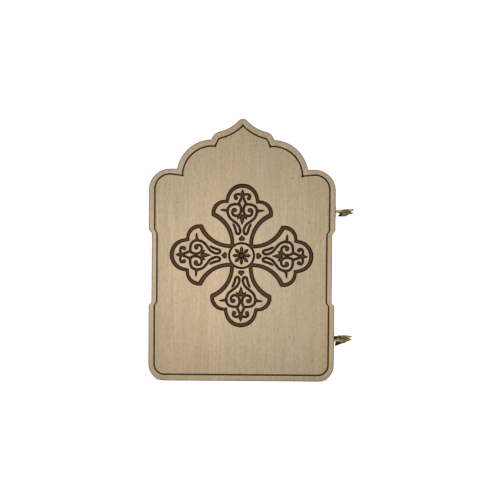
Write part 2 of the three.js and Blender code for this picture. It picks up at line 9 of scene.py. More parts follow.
import bmesh
import bpy
from bpy.props import FloatProperty, FloatVectorProperty, PointerProperty
from mathutils import Matrix, Vector
from mathutils.bvhtree import BVHTree
from mathutils.geometry import delaunay_2d_cdt
from mathutils.kdtree import KDTree


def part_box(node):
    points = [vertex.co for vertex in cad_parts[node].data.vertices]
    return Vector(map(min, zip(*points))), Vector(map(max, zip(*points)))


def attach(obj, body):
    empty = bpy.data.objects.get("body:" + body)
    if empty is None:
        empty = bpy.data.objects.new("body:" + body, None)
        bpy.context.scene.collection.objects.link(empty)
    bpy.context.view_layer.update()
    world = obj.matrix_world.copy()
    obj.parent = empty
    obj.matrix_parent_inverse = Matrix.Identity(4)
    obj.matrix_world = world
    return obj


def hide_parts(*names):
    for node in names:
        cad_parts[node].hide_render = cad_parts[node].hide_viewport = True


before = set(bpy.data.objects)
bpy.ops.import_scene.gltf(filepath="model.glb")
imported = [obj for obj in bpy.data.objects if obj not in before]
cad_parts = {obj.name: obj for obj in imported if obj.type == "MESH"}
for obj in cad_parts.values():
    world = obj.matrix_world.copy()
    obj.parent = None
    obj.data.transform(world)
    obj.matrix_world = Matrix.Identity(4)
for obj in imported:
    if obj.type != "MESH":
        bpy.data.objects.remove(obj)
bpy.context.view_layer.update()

bl_info = {
    "name": "Folding Diptych",
    "version": (1, 0, 0),
    "blender": (4, 5, 0),
    "location": "View3D > Sidebar > Diptych",
    "description": "Builds an engraved wooden diptych with brass hinges and hook clasps",
    "category": "Add Mesh",
}

MM = 0.001

Circle = namedtuple("Circle", "centre radius")
Course = namedtuple("Course", "foot_extra shoulder_rise crown_drop waist_inset")
Cut = namedtuple("Cut", "outline holes edge_burn")
Petal = namedtuple("Petal", "start end width widest")
Spot = namedtuple("Spot", "centre half_size")
ArmBody = namedtuple(
    "ArmBody",
    "neck_top neck_depth shoulder_reach shoulder crown top_at_tip"
    " claw_reach throat_reach claw_depth belly_end belly_depth prong_depth")
Pattern = namedtuple("Pattern", "stretch scale detail roughness")
Finish = namedtuple("Finish", "spread roughness")

# Leaves, from the frame
FRONT_LOW, FRONT_HIGH = (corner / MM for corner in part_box("front_leaf"))
BACK_LOW, BACK_HIGH = (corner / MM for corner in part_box("back_leaf"))
HALF_WIDTH = FRONT_HIGH.x
TIP_HEIGHT = FRONT_HIGH.z

# Outline of a leaf
FOOT_CORNER_RADIUS = 9.2
WAIST_INSET = 1.6
WAIST_BOTTOM = 43.6
WAIST_TOP = 84.25
WAIST_STEP_LENGTH = 2.6
SHOULDER_HEIGHT = 119.5
SHOULDER_RADIUS = 11.9
LOBE = Circle((16.85, 115.8), 20.25)
OGEE_CORNER = Circle((12.3, 135.35), 5.1)
OGEE_SIDE_LEAN = 25
FLANK = Circle((18.11, 161.53), 21.65)
TIP_RADIUS = 3.12
EDGE_COURSE = Course(foot_extra=0, shoulder_rise=0, crown_drop=0, waist_inset=WAIST_INSET)
OUTLINE_STEPS = 16
WAIST_STEPS = 8
ARRIS_STEPS = 5

# Engraving
CROSS_PLACE = Vector((-0.19, 70.95))
CROSS_ARMS = 4
BORDER_DOT_RADIUS = 0.7
BORDER_DOT_TURN = math.radians(50)
RING_RADIUS = 7.62
RING_WIDTH = 1.25
ROSETTE_PETALS = 8
ROSETTE_EYE_RADIUS = 1.3
ROSETTE_PETAL = Petal((0, 0), (0, 5.4), 2.05, 0.7)
CROSS_LOBE_LEAN = 13
CROSS_CORNER_FILLET = 0.7
CROSS_ARM_OUTSIDE = {
    "flare": Circle((23.14, 6.3), 16.77),
    "ear": Circle((9.9, 23.81), 7.43),
    "lobe": Circle((0, 31.16), 9.31),
}
CROSS_ARM_INSIDE = {
    "flare": Circle((23.49, 6.58), 19.36),
    "ear": Circle((9.2, 23.6), 5.85),
    "lobe": Circle((0, 30.7), 7.35),
}
CROSS_ARM_STEPS = 14
FILLET_STEPS = 4
ROUND_STEPS = 48

# Scroll filling of one arm: each stroke runs through a few points right of the arm's axis
POINTED_END = 0.1
HEART_SCROLL = (
    (1.6, 28.75), (4.2, 28.85), (6.7, 28.1), (8.1, 26.2), (8.1, 23.85), (7.06, 21.4), (4.94, 19.45),
    (2.82, 17.85), (1.41, 15.7), (0.99, 13.6), (1.76, 12.1), (3, 12.5), (3.53, 14.3), (4.06, 15.9),
    (4.7, 17.2), (5.35, 18.25),
)
INNER_SPIRAL = (
    (1.85, 29), (0.98, 27.4), (0.72, 25.6), (1.1, 23.85), (2.35, 22.6), (4, 22.4), (5.3, 23.2),
    (5.55, 24.7), (5, 26), (3.9, 26),
)
TOP_CURL = ((0.35, 33.9), (1.4, 34.35), (3, 34.5), (4.15, 33.8), (4.2, 32.7))
TOP_STEM = ((0.15, 33.9), (0.53, 32.8), (1.23, 30.9), (2.1, 29.1))
SIDE_SPUR = ((7.9, 24.6), (8.9, 25.2), (10.6, 25.45), (12.35, 25.45))
SPUR_TAPER = (3, 1.8, 1.35, 0.6)
SPIRAL_BALL = Circle((4.05, 25.5), 1.2)
CURL_BALL = Circle((3.6, 32.3), 1.2)
FINIAL = Petal((0, 32.9), (0, 37.45), 2.1, 0.5)
PALMETTE = Petal((0, 23.6), (0, 16.9), 2.7, 0.36)
PALMETTE_SIDE = Petal((0.9, 23.4), (2.85, 20.2), 1.9, 0.5)
PETAL_SWELL = {"early": 0.36, "widest": 0.5, "late": 0.32}
HEART = {"point": 11.7, "width": 3.75, "height": 3.5, "lobe": 1.2}
HEART_SIDE = 20
STEPS_PER_POINT = 4
PETAL_STEPS = 16
BALL_STEPS = 18

# Burnt parts, from 0 for bare wood to 1 for char; the toast on the sides and arrises is partly painted
# shade
BURN = "burn"
FLOOR_BURN = 0.5
BORDER_BURN = 0.72
EDGE_BURN = 1.0
CHARRED_EDGE = 0.37
EDGE_BURN_FADE = 0.45
TOAST_AND_EDGE_SHADE = "toast"
# Arrises darkened like the cut sides: partly charring from the cutting, partly painted shade of edges
# turned away from the light
ARRIS_TOAST_AND_SHADE = 0.75

# Facets of the boards, and what all meshes share
FLOOR_SPACING = 0.3
FLOOR_CLEARANCE = 0.12
WALL_SAMPLE = 0.08
SUPPORT_WIDTH = 0.15
MERGE = 1e-5
SMOOTH_ANGLE = math.radians(35)

# Brass of the hinges and clasps
PLACES = ("upper", "lower")
PLATE_CORNER = 1.3
PLATE_ROUNDING = 0.14
NAIL_RISE = 0.16
KNUCKLE_GAP = 0.15
KNUCKLE_CHAMFER = 0.12
SEAT_GAP = 0.08
SEAT_OVERSHOOT = 1

# Hinges
HINGE_KNUCKLES = 3
MIDDLE_KNUCKLE = 1
HINGE_KNUCKLE_RADIUS = 1
HINGE_BORE_RADIUS = 0.46
HINGE_PIN_RADIUS = 0.4
HINGE_PLATE_GAP = 1.3
HINGE_NAIL_RADIUS = 0.75
HINGE_NAIL_MARGIN = 2.1

# Clasps
CLASP_PIN_RADIUS = 0.3
CLASP_BORE_RADIUS = 0.36
CLASP_KNUCKLE_RADIUS = 0.8
CLASP_KNUCKLE_HALF = 1.35
CLASP_LUG_HALF = (1.65, 3.25)
CLASP_PLATE_THICKNESS = 0.6
CLASP_WEB_HALF = 0.56
CLASP_NAIL_RADIUS = 0.7
CLASP_NAIL_PLACE = (-1.9, 3.2)
ARM_ROOT = 0.45
ARM_LENGTH = 11
ARM_HALF_THICKNESS = 0.8
ARM_ROUNDING = 0.45
ARM_CROWN_REACH = 6.5
ARM_LOWER_PRONG_START = 8.2
ARM_LOWER_PRONG_AT_TIP = 1.25
ARM_TIP_ROUNDING = 0.5
ARM_CLAW_WIDTH = 0.8
ARM_CLAW_HEIGHT = 0.7
ARM_SLOT_DEPTH = 1.4
ARM_SLOT_HALF = 0.46
ARM_BODIES = {
    "upper": ArmBody(
        neck_top=1, neck_depth=0.65, shoulder_reach=3.4, shoulder=1.08, crown=1.55, top_at_tip=1.7,
        claw_reach=2, throat_reach=3.9, claw_depth=2.85, belly_end=5.7, belly_depth=2.85, prong_depth=1.6),
    "lower": ArmBody(
        neck_top=1.1, neck_depth=1.3, shoulder_reach=1.3, shoulder=1.3, crown=2.2, top_at_tip=1.35,
        claw_reach=1.05, throat_reach=1.3, claw_depth=4.6, belly_end=5, belly_depth=3.25, prong_depth=2),
}
JAW_DEPTH = 0.22
JAW_WIDTH = 0.35
JAW_START = 3.4
JAW_FADE = 1.5
HOLLOW_DEPTH = 0.55
HOLLOW_LIMIT = 0.4
SPOT_FIRMNESS = 1.6
# Hollows sunk into the arms' fronts; like the parting line, they are painted dark as shade
ARM_HOLLOWS = {
    "upper": [Spot((3.1, -1.8), (1.1, 1.3))],
    "lower": [
        Spot((2.7, -2.9), (2.2, 0.8)), Spot((1.5, -3.9), (0.9, 0.9)),
        Spot((1.4, 0.3), (0.8, 0.45)), Spot((3.6, 0.3), (0.7, 0.45)),
    ],
}
# Painted highlights: spots of clean bright brass on each arm's upper prong, where light catches it
ARM_PAINTED_HIGHLIGHTS = {
    "upper": [Spot((9.4, 1), (1.3, 0.65))],
    "lower": [Spot((9.5, 0.75), (1.3, 0.6))],
}
STUD_SHANK_RADIUS = 0.36
STUD_HEAD_RADIUS = 0.38
STUD_HEAD_LENGTH = 1.6
STUD_DOME_START = 0.35
STUD_ROOT = 1

# Profiles of pins and nails: shares of the radius and of the length of an end
ROD_CROWN = 0.4
ROD_END = ((0, 0), (0.7, 0.35), (1, 1))
NAIL_DOME = ((0, 1), (0.45, 0.85), (0.8, 0.5), (1, 0))
NAIL_SHANK = ((0.5, -0.3), (0, -1))

# Facets of the brass
TURN_SIDES = 28
CORNER_STEPS = 6
CURVE_STEPS = 14
BELLY_STEPS = 3
STUD_DOME_STEPS = 8
RIM_SHARES = (0.08, 0.25, 0.5, 0.75, 1)
RIM_ACCURACY = 0.9
RIM_CLEARANCE = 1.2
PLATE_SPACING = 0.6
ARM_SPACING = 0.22

# Wear of the brass, painted highlights on the clasp arms and painted shade where their fronts are sunk,
# from 0 to 1
WEAR_AND_HIGHLIGHT = "wear"
WORN_REACH = 1.2
KNUCKLE_WEAR = 0.3
PIN_WEAR = 0.6
NAIL_WEAR = 0.8
STUD_WEAR = 1
# Painted shade: sunk parts of the brass are painted with the dark grime colour in place of the shade that
# falls there
PAINTED_SHADE = "grime"
FULL_SHADE_DEPTH = 0.5

# Look of the wood: patterns with their stretch along x, y and z and their scale per metre
BACK_GRAIN_SHIFT = (0.31, 0.12, 0.2)
GRAIN_SWAY = Pattern((20, 20, 9), 1, 2, 0.5)
GRAIN_SWAY_REACH = (0.004, 0.004, 0)
GRAIN = {
    "Streaks": Pattern((1, 0.5, 0.05), 210, 3, 0.55),
    "Warmth": Pattern((1, 0.4, 0.035), 330, 2, 0.5),
    "Clouds": Pattern((1, 0.5, 0.16), 48, 2, 0.5),
    "Fibres": Pattern((1, 0.6, 0.03), 1250, 4, 0.7),
    "Mottle": Pattern((1, 1, 0.6), 1100, 3, 0.7),
    "Pores": Pattern((1, 0.8, 0.14), 2300, 1, 0.4),
}
GRAIN_EDGES = {
    "Streaks": (0.36, 0.64), "Warmth": (0.38, 0.62), "Clouds": (0.4, 0.64), "Pores": (0.62, 0.76),
}
PIN_HOLE_STRETCH = (1, 1, 0.5)
PIN_HOLE_SCALE = 80
PIN_HOLE_EDGES = (0.032, 0.012)
PIN_HOLE_SHARE = 0.28
COVER = {"Streaks": 0.6, "Warmth": 0.6, "Clouds": 0.75, "Pores": 0.35, "Pin holes": 0.6}
NOISE_MEAN = 0.5
NOISE_MIDDLE = (0.3, 0.7)
FIBRE_TONES = (0.9, 1.07)
MOTTLE_TONES = (0.92, 1.08)
TOAST_AND_SHADE_COVER = (0.75, 0.95)
SOOT = Pattern((1, 1, 1), 1100, 3, 0.6)
SOOT_SPREAD = 0.4
SOOT_HEIGHT = 1.5
BURNT_EDGES = (0.2 * FLOOR_BURN, 0.8 * FLOOR_BURN)
WOOD_ROUGHNESS = (0.5, 0.6)
BURNT_ROUGHNESS = 0.22
WOOD_SHINE = 0.05
WOOD_BUMP = {"Strength": 0.35, "Distance": 0.06 * MM}

# Look of the brass
BLOTCHES = Pattern((1, 1, 1), 700, 4, 0.6)
BLOTCH_START = 0.75
BLOTCH_FADE = 0.3
BRUSHING = Pattern((0.25, 1, 1), 5200, 2, 0.5)
SPECKS = Pattern((1, 1, 1), 2600, 1, 0.3)
SPECK_EDGES = (0.68, 0.76)
SPECK_COVER = 0.6
DULL_ROUGHNESS = 0.2
BRASS_SHINE = 0.5
BRASS_BUMP = {"Strength": 0.25, "Distance": 0.02 * MM}
HINGE_FINISH = Finish(spread=0.42, roughness=0.34)
NAIL_FINISH = Finish(spread=0.2, roughness=0.26)
CLASP_FINISH = Finish(spread=0.5, roughness=0.3)
STUD_FINISH = Finish(spread=0.15, roughness=0.22)

# Camera, in millimetres
PHOTO_WIDTH = 281.2
CAMERA_DISTANCE = 450
CAMERA_X = 4.54
CAMERA_HEIGHT = 74.17
CAMERA_ROLL = math.radians(0.47)
CAMERA_PITCH = math.radians(1.5)
SENSOR_WIDTH = 36

# Light and floor, in metres
KEY_PLACE = (-0.3, -0.95, 0.3)
KEY_AIM = Vector((-0.011, FRONT_LOW.y * MM, 0.061))
KEY_POWER = 33
KEY_CONE = math.radians(10.2)
KEY_RADIUS = 0.06
HORIZON_LIGHT = 0.26
ZENITH_LIGHT = 1.85
ZENITH_EDGES = (0.4, 0.9)
BEHIND_CAMERA_Y = -0.7
BACKDROP_WHITE = 1.1
FLOOR_RADIUS = 12
FLOOR_SIDES = 96
FLOOR_GRAIN = Pattern((1, 1, 1), 60, 3, 0.5)
FLOOR_SPECKLE = 0.985
FLOOR_ROUGHNESS = 0.9
FLOOR_GLOW = 0.6


def arc(centre, radius, start, end, steps):
    """Points along a circle from one bearing to another, in degrees."""
    sweep = (math.radians(start + (end - start) * step / steps) for step in range(steps + 1))
    x, z = centre
    return [Vector((x + radius * math.cos(turn), z + radius * math.sin(turn))) for turn in sweep]


def quarter_turn(steps):
    """Even angles from nought to a right angle."""
    return [math.radians(90 * step / steps) for step in range(steps + 1)]


def short_arc(circle, start, end, steps):
    sweep = (end - start + 180) % 360 - 180
    return arc(circle.centre, circle.radius, start, start + sweep, steps)


def bearing(centre, point):
    return math.degrees(math.atan2(point[1] - centre[1], point[0] - centre[0]))


def circles_meet(a, b, side):
    along = Vector(b.centre) - Vector(a.centre)
    distance = along.length
    along /= distance
    reach = (a.radius ** 2 - b.radius ** 2 + distance ** 2) / (2 * distance)
    height = side * math.sqrt(a.radius ** 2 - reach ** 2)
    return Vector(a.centre) + along * reach + Vector((-along.y, along.x)) * height


def line_meets_circle(start, direction, circle):
    offset = start - Vector(circle.centre)
    along = offset.dot(direction)
    travel = -along - math.sqrt(along ** 2 - offset.length_squared + circle.radius ** 2)
    return start + direction * travel


def leaning_side_meets(circle, lean_degrees, target):
    """A straight side leaves a circle at its right and leans outwards on its way down to another."""
    lean = math.radians(lean_degrees)
    start = Vector(circle.centre) + Vector((math.cos(lean), math.sin(lean))) * circle.radius
    return line_meets_circle(start, Vector((math.sin(lean), -math.cos(lean))), target)


def mirrored(points):
    return [Vector((-x, z)) for x, z in reversed(points)]


def both_halves(right_half):
    return right_half + [point for point in mirrored(right_half) if abs(point.x) > MERGE]


def turned(points, degrees):
    spin = Matrix.Rotation(math.radians(degrees), 2)
    return [spin @ point for point in points]


def smooth_step(share):
    share = min(max(share, 0), 1)
    return share * share * (3 - 2 * share)


def spline(points, steps):
    """A smooth line through points, with the same number of steps between each two."""
    last = len(points) - 1
    line = []
    for step in range(steps * last + 1):
        index = min(step // steps, last - 1)
        share = step / steps - index
        before, start, end, after = (
            Vector(points[min(max(index + shift, 0), last)]) for shift in (-1, 0, 1, 2)
        )
        leave = (end - before) / 2
        arrive = (after - start) / 2
        cubic = (start - end) * 2 + leave + arrive
        square = (end - start) * 3 - leave * 2 - arrive
        line.append(((cubic * share + square) * share + leave) * share + start)
    return line


def leaf_outline(inset, course=EDGE_COURSE):
    """Outline of a leaf, or a line set in from it that runs a little off the edge's course."""
    side = HALF_WIDTH - inset
    foot_centre = (HALF_WIDTH - FOOT_CORNER_RADIUS, FOOT_CORNER_RADIUS + course.foot_extra)
    shoulder_centre = (
        HALF_WIDTH - SHOULDER_RADIUS, SHOULDER_HEIGHT - SHOULDER_RADIUS + course.shoulder_rise)
    lobe = Circle(LOBE.centre, LOBE.radius - inset)
    corner = Circle(OGEE_CORNER.centre, OGEE_CORNER.radius - inset)
    flank = Circle(FLANK.centre, FLANK.radius + inset)
    rise = SHOULDER_HEIGHT - inset - lobe.centre[1]
    notch = Vector((lobe.centre[0] + math.sqrt(lobe.radius ** 2 - rise ** 2), SHOULDER_HEIGHT - inset))
    cusp = leaning_side_meets(corner, OGEE_SIDE_LEAN, lobe)

    lower = arc(foot_centre, FOOT_CORNER_RADIUS - inset, -90, 0, OUTLINE_STEPS)
    for middle, goes_in in ((WAIST_BOTTOM, True), (WAIST_TOP, False)):
        for step in range(WAIST_STEPS + 1):
            share = step / WAIST_STEPS
            depth = smooth_step(share if goes_in else 1 - share)
            x = side - course.waist_inset * depth
            lower.append(Vector((x, middle + (share - 0.5) * WAIST_STEP_LENGTH)))
    crown = arc(shoulder_centre, SHOULDER_RADIUS - inset, 0, 90, OUTLINE_STEPS)
    ends = (bearing(lobe.centre, notch), bearing(lobe.centre, cusp))
    crown += arc(lobe.centre, lobe.radius, *ends, OUTLINE_STEPS)
    flank_start = bearing(flank.centre, corner.centre)
    crown += arc(corner.centre, corner.radius, OGEE_SIDE_LEAN, flank_start + 180, OUTLINE_STEPS)
    tip_radius = max(TIP_RADIUS - inset, 0)
    if tip_radius > 0:
        tip = Vector((0, TIP_HEIGHT - TIP_RADIUS))
        flank_end = bearing(flank.centre, tip)
        crown += short_arc(flank, flank_start, flank_end, OUTLINE_STEPS)[1:]
        crown += arc(tip, tip_radius, flank_end + 180, 90, OUTLINE_STEPS // 2)[1:]
    else:
        apex = flank.centre[1] - math.sqrt(flank.radius ** 2 - flank.centre[0] ** 2)
        crown += short_arc(flank, flank_start, bearing(flank.centre, (0, apex)), OUTLINE_STEPS)[1:]
    return both_halves(lower + [point - Vector((0, course.crown_drop)) for point in crown])


def cross_arm_edge(flare, ear, lobe, foot, fillet):
    """One arm's edge, from its foot over the ear and up to the top of its lobe."""
    cusp = leaning_side_meets(lobe, CROSS_LOBE_LEAN, ear)
    grown = Circle(flare.centre, flare.radius + fillet)
    shrunk = Circle(ear.centre, ear.radius - fillet)
    corner = circles_meet(grown, shrunk, -1)
    flare_end = bearing(flare.centre, corner)
    ear_start = bearing(ear.centre, corner)
    edge = short_arc(flare, bearing(flare.centre, foot), flare_end, CROSS_ARM_STEPS)
    if fillet > 0:
        edge += short_arc(Circle(corner, fillet), flare_end - 180, ear_start, FILLET_STEPS)[1:-1]
    edge += short_arc(ear, ear_start, bearing(ear.centre, cusp), CROSS_ARM_STEPS)[0 if fillet > 0 else 1:]
    return edge + short_arc(lobe, CROSS_LOBE_LEAN, 90, CROSS_ARM_STEPS)


def four_ways(points):
    return [turned(points, index * 360 / CROSS_ARMS) for index in range(CROSS_ARMS)]


def circle_outline(centre, radius, steps):
    return arc(centre, radius, 0, 360, steps)[1:]


def cross_band():
    """The flared cross as one dark band round four fields and a round eye."""
    reach = CROSS_ARM_OUTSIDE["flare"].centre[0] - CROSS_ARM_OUTSIDE["flare"].radius
    edge = cross_arm_edge(**CROSS_ARM_OUTSIDE, foot=Vector((reach, reach)), fillet=CROSS_CORNER_FILLET)
    arm = both_halves(edge)
    outline = [point for points in four_ways(arm) for point in points[:-1]]
    foot = circles_meet(CROSS_ARM_INSIDE["flare"], Circle((0, 0), RING_RADIUS), -1)
    turn = bearing((0, 0), foot)
    base = arc((0, 0), RING_RADIUS, 180 - turn, turn, CROSS_ARM_STEPS)[1:-1]
    field = both_halves(cross_arm_edge(**CROSS_ARM_INSIDE, foot=foot, fillet=0)) + base
    eye = circle_outline((0, 0), RING_RADIUS - RING_WIDTH, ROUND_STEPS)
    return Cut(outline, four_ways(field) + [eye], EDGE_BURN)


def stroke(points, widths):
    """A brush stroke along a smooth line, its width given at even places along it."""
    line = spline(points, STEPS_PER_POINT)
    last = len(line) - 1
    left = []
    right = []
    for index, point in enumerate(line):
        along = (line[min(index + 1, last)] - line[max(index - 1, 0)]).normalized()
        place = index / last * (len(widths) - 1)
        step = min(int(place), len(widths) - 2)
        half = (widths[step] + (widths[step + 1] - widths[step]) * (place - step)) / 2
        across = Vector((-along.y, along.x)) * half
        left.append(point + across)
        right.append(point - across)
    return left + right[::-1]


def petal_outline(petal):
    start = Vector(petal.start)
    along = Vector(petal.end) - start
    across = Vector((-along.y, along.x)).normalized() * petal.width
    swell = spline((
        (0, 0),
        (petal.widest / 2, PETAL_SWELL["early"]),
        (petal.widest, PETAL_SWELL["widest"]),
        ((1 + petal.widest) / 2, PETAL_SWELL["late"]),
        (1, 0),
    ), PETAL_STEPS // 4)
    right = [start + along * travel - across * half for travel, half in swell]
    left = [start + along * travel + across * half for travel, half in swell]
    return right + left[-2:0:-1]


def heart_outline(point, width, height, lobe):
    """A heart with its point up and its two lobes towards the ring."""
    centre = (width / 2 - lobe, point - height + lobe)
    cleft = math.degrees(math.acos(centre[0] / lobe)) - 180
    half = [*arc(centre, lobe, cleft, HEART_SIDE, BALL_STEPS // 2), Vector((0, point))]
    return both_halves(half)


def cross_arm_filling(scroll_width):
    even = (scroll_width, scroll_width)
    taper = (scroll_width,) * (len(HEART_SCROLL) - 1) + (POINTED_END,)
    right_side = [
        stroke(HEART_SCROLL, taper),
        stroke(INNER_SPIRAL, even),
        stroke(TOP_CURL, even),
        stroke(TOP_STEM, even),
        stroke(SIDE_SPUR, SPUR_TAPER),
        petal_outline(PALMETTE_SIDE),
        circle_outline(*SPIRAL_BALL, BALL_STEPS),
        circle_outline(*CURL_BALL, BALL_STEPS),
    ]
    on_axis = [petal_outline(FINIAL), petal_outline(PALMETTE), heart_outline(**HEART)]
    return right_side + [mirrored(points) for points in right_side] + on_axis


def rosette():
    petal = petal_outline(ROSETTE_PETAL)
    petals = [turned(petal, index * 360 / ROSETTE_PETALS) for index in range(ROSETTE_PETALS)]
    return petals + [circle_outline((0, 0), ROSETTE_EYE_RADIUS, BALL_STEPS)]


def solid_cut(outline):
    return Cut(outline, [], EDGE_BURN)


def placed(cut, roll_degrees):
    """A cut of the cross moved from the arms' own centre to its place on the leaf."""
    def move(points):
        return [point + CROSS_PLACE for point in turned(points, roll_degrees)]
    return Cut(move(cut.outline), [move(hole) for hole in cut.holes], cut.edge_burn)


def border_course(sizes):
    return Course(
        sizes.border_foot_extra / MM, sizes.border_shoulder_rise / MM, sizes.border_crown_drop / MM,
        sizes.border_waist_inset / MM)


def border_line(sizes):
    inset = sizes.border_inset / MM
    half = sizes.border_width / MM / 2
    course = border_course(sizes)
    return Cut(leaf_outline(inset - half, course), [leaf_outline(inset + half, course)], BORDER_BURN)


def border_dots(sizes):
    """Deeper burnt dots where the border line turns sharply."""
    line = leaf_outline(sizes.border_inset / MM, border_course(sizes))
    dots = []
    for index, point in enumerate(line):
        arriving = point - line[index - 1]
        leaving = line[(index + 1) % len(line)] - point
        if arriving.angle(leaving, 0) > BORDER_DOT_TURN:
            dots.append(solid_cut(circle_outline(point, BORDER_DOT_RADIUS, BALL_STEPS)))
    return dots


def front_cuts(sizes):
    """Border, cross, scroll filling and rosette on the outside of the front leaf."""
    roll = math.degrees(sizes.cross_roll)
    arms = (four_ways(points) for points in cross_arm_filling(sizes.scroll_width / MM))
    filling = [points for arm in arms for points in arm] + rosette()
    cross = [cross_band()] + [solid_cut(points) for points in filling]
    return [border_line(sizes)] + border_dots(sizes) + [placed(cut, roll) for cut in cross]


def back_cuts(sizes):
    """Border and the bare cross on the outside of the back leaf."""
    return [border_line(sizes), placed(cross_band(), 0)]


def inner_cuts(sizes):
    """Border and a small roundel on the inside of a leaf."""
    outer = circle_outline((0, 0), RING_RADIUS, ROUND_STEPS)
    inner = circle_outline((0, 0), RING_RADIUS - RING_WIDTH, ROUND_STEPS)
    roundel = [Cut(outer, [inner], EDGE_BURN)] + [solid_cut(points) for points in rosette()]
    return [border_line(sizes)] + [placed(cut, 0) for cut in roundel]


def runs_left(polygon):
    """Whether an outline runs counter-clockwise."""
    following = polygon[1:] + polygon[:1]
    return sum(a.x * b.y - b.x * a.y for a, b in zip(polygon, following)) > 0


def triangulated(polygons, loose=()):
    """Triangles that fill the first polygon and keep the edges of all, and the polygons each lies in."""
    points = []
    faces = []
    for polygon in polygons:
        faces.append(list(range(len(points), len(points) + len(polygon))))
        points.extend(polygon if runs_left(polygon) else reversed(polygon))
    points.extend(loose)
    flat, _, triangles, sources, _, owners = delaunay_2d_cdt(points, [], faces, 1, MERGE)
    return flat, triangles, sources, owners


def edge_burns(owners, cuts, first):
    """How much the edges are burnt of the cuts each triangle lies in, or 0 outside all of them."""
    spans = []
    for cut in cuts:
        holes = range(first + 1, first + 1 + len(cut.holes))
        spans.append((first, set(holes), cut.edge_burn))
        first = holes.stop
    burns = []
    for owner in owners:
        inside = set(owner)
        burns.append(max(
            (burn for outer, holes, burn in spans if outer in inside and not holes & inside), default=0))
    return burns


def edges_of(triangle):
    return zip(triangle, (*triangle[1:], triangle[0]))


def wall_edges(triangles, sunk):
    """Edges between a sunk triangle and a flat one, as the sunk triangle runs."""
    burn_of = {edge: burn for triangle, burn in zip(triangles, sunk) for edge in edges_of(triangle)}
    return [(a, b) for (a, b), burn in burn_of.items() if burn and burn_of.get((b, a)) == 0]


def edge_samples(flat, edges, spacing):
    for a, b in edges:
        start, end = flat[a], flat[b]
        count = max(1, round((end - start).length / spacing))
        yield from (start.lerp(end, index / count) for index in range(count))


def nearest_lookup(points):
    points = list(points)
    tree = KDTree(len(points))
    for index, point in enumerate(points):
        tree.insert((*point, 0), index)
    tree.balance()
    return lambda point: tree.find((*point, 0))[2]


def hexagonal_grid(low, high, spacing):
    row_height = spacing * math.sqrt(3) / 2
    for row in range(int((high.y - low.y) / row_height) + 1):
        start = low.x + (row % 2) * spacing / 2
        for column in range(int((high.x - low.x) / spacing) + 1):
            yield Vector((start + column * spacing, low.y + row * row_height))


def points_inside(flat, triangles, spacing, clearance, distance_to_edge):
    """Even points over some triangles, clear of their edges."""
    surface = BVHTree.FromPolygons([(*point, 0) for point in flat], triangles)
    corners = [flat[index] for triangle in triangles for index in triangle]
    low = Vector((min(p.x for p in corners), min(p.y for p in corners)))
    high = Vector((max(p.x for p in corners), max(p.y for p in corners)))
    return [
        point for point in hexagonal_grid(low, high, spacing)
        if surface.ray_cast((*point, 1), (0, 0, -1))[0] and distance_to_edge(point) > clearance
    ]


def quadratic(start, control, end, steps):
    """Points after the start of a bow that leans towards a control point."""
    start, control, end = Vector(start), Vector(control), Vector(end)
    shares = (step / steps for step in range(1, steps + 1))
    return [start.lerp(control, share).lerp(control.lerp(end, share), share) for share in shares]


def rounded_rectangle(low, high, radius):
    corners = (((high[0], low[1]), -90), (high, 0), ((low[0], high[1]), 90), (low, 180))
    outline = []
    for (x, z), start in corners:
        turn = math.radians(start + 45)
        inwards = Vector((math.copysign(radius, math.cos(turn)), math.copysign(radius, math.sin(turn))))
        outline += arc(Vector((x, z)) - inwards, radius, start, start + 90, CORNER_STEPS)
    return outline


def rim_points(outline, rounding, distance_to_rim):
    """Points inside an outline that carry the rounding of its edge."""
    points = []
    for index, point in enumerate(outline):
        along = (outline[(index + 1) % len(outline)] - outline[index - 1]).normalized()
        inwards = Vector((-along.y, along.x)) * rounding
        for share in RIM_SHARES:
            moved = point + inwards * share
            if distance_to_rim(moved) > rounding * share * RIM_ACCURACY:
                points.append(moved)
    return points


def plate_form(bm, outline, half, rounding, spacing, place, dent=None, painted_highlight=None):
    """A flat piece of brass with rounded and worn edges, on both sides of a middle plane.

    dent gives how far a point of its front is sunk, and painted_highlight how bright a point is painted as
    a highlight, instead of the worn edges.
    """
    wear = bm.verts.layers.float[WEAR_AND_HIGHLIGHT]
    grime = bm.verts.layers.float[PAINTED_SHADE]
    count = len(outline)
    rim = [(index, (index + 1) % count) for index in range(count)]
    distance_to_rim = nearest_lookup(edge_samples(outline, rim, WALL_SAMPLE))
    flat, triangles, _, _ = triangulated([outline])
    inside = points_inside(flat, triangles, spacing, rounding * RIM_CLEARANCE, distance_to_rim)
    loose = rim_points(outline, rounding, distance_to_rim) + inside
    flat, triangles, sources, _ = triangulated([outline], loose)
    sides = []
    for side in (1, -1):
        level = []
        for point, source in zip(flat, sources):
            distance = 0 if any(index < count for index in source) else distance_to_rim(point)
            short = rounding - min(distance, rounding)
            height = half - rounding + math.sqrt(rounding ** 2 - short ** 2)
            sunk = dent(point) if dent and side > 0 else 0
            height = max(height - sunk, -half * HOLLOW_LIMIT)
            vertex = bm.verts.new(place(point, side * height))
            # Worn edges, or on the clasp arms painted highlights in their place
            vertex[wear] = painted_highlight(point) if painted_highlight else 1 - smooth_step(distance / rounding / WORN_REACH)
            # Painted shade, darker the deeper the front is sunk
            vertex[grime] = smooth_step(sunk / FULL_SHADE_DEPTH)
            level.append(vertex)
        sides.append(level)
        for triangle in triangles:
            bm.faces.new([level[index] for index in triangle])
    used = {index: position for position, source in enumerate(sources) for index in source if index < count}
    bridge(bm, *([level[used[index]] for index in range(count)] for level in sides))


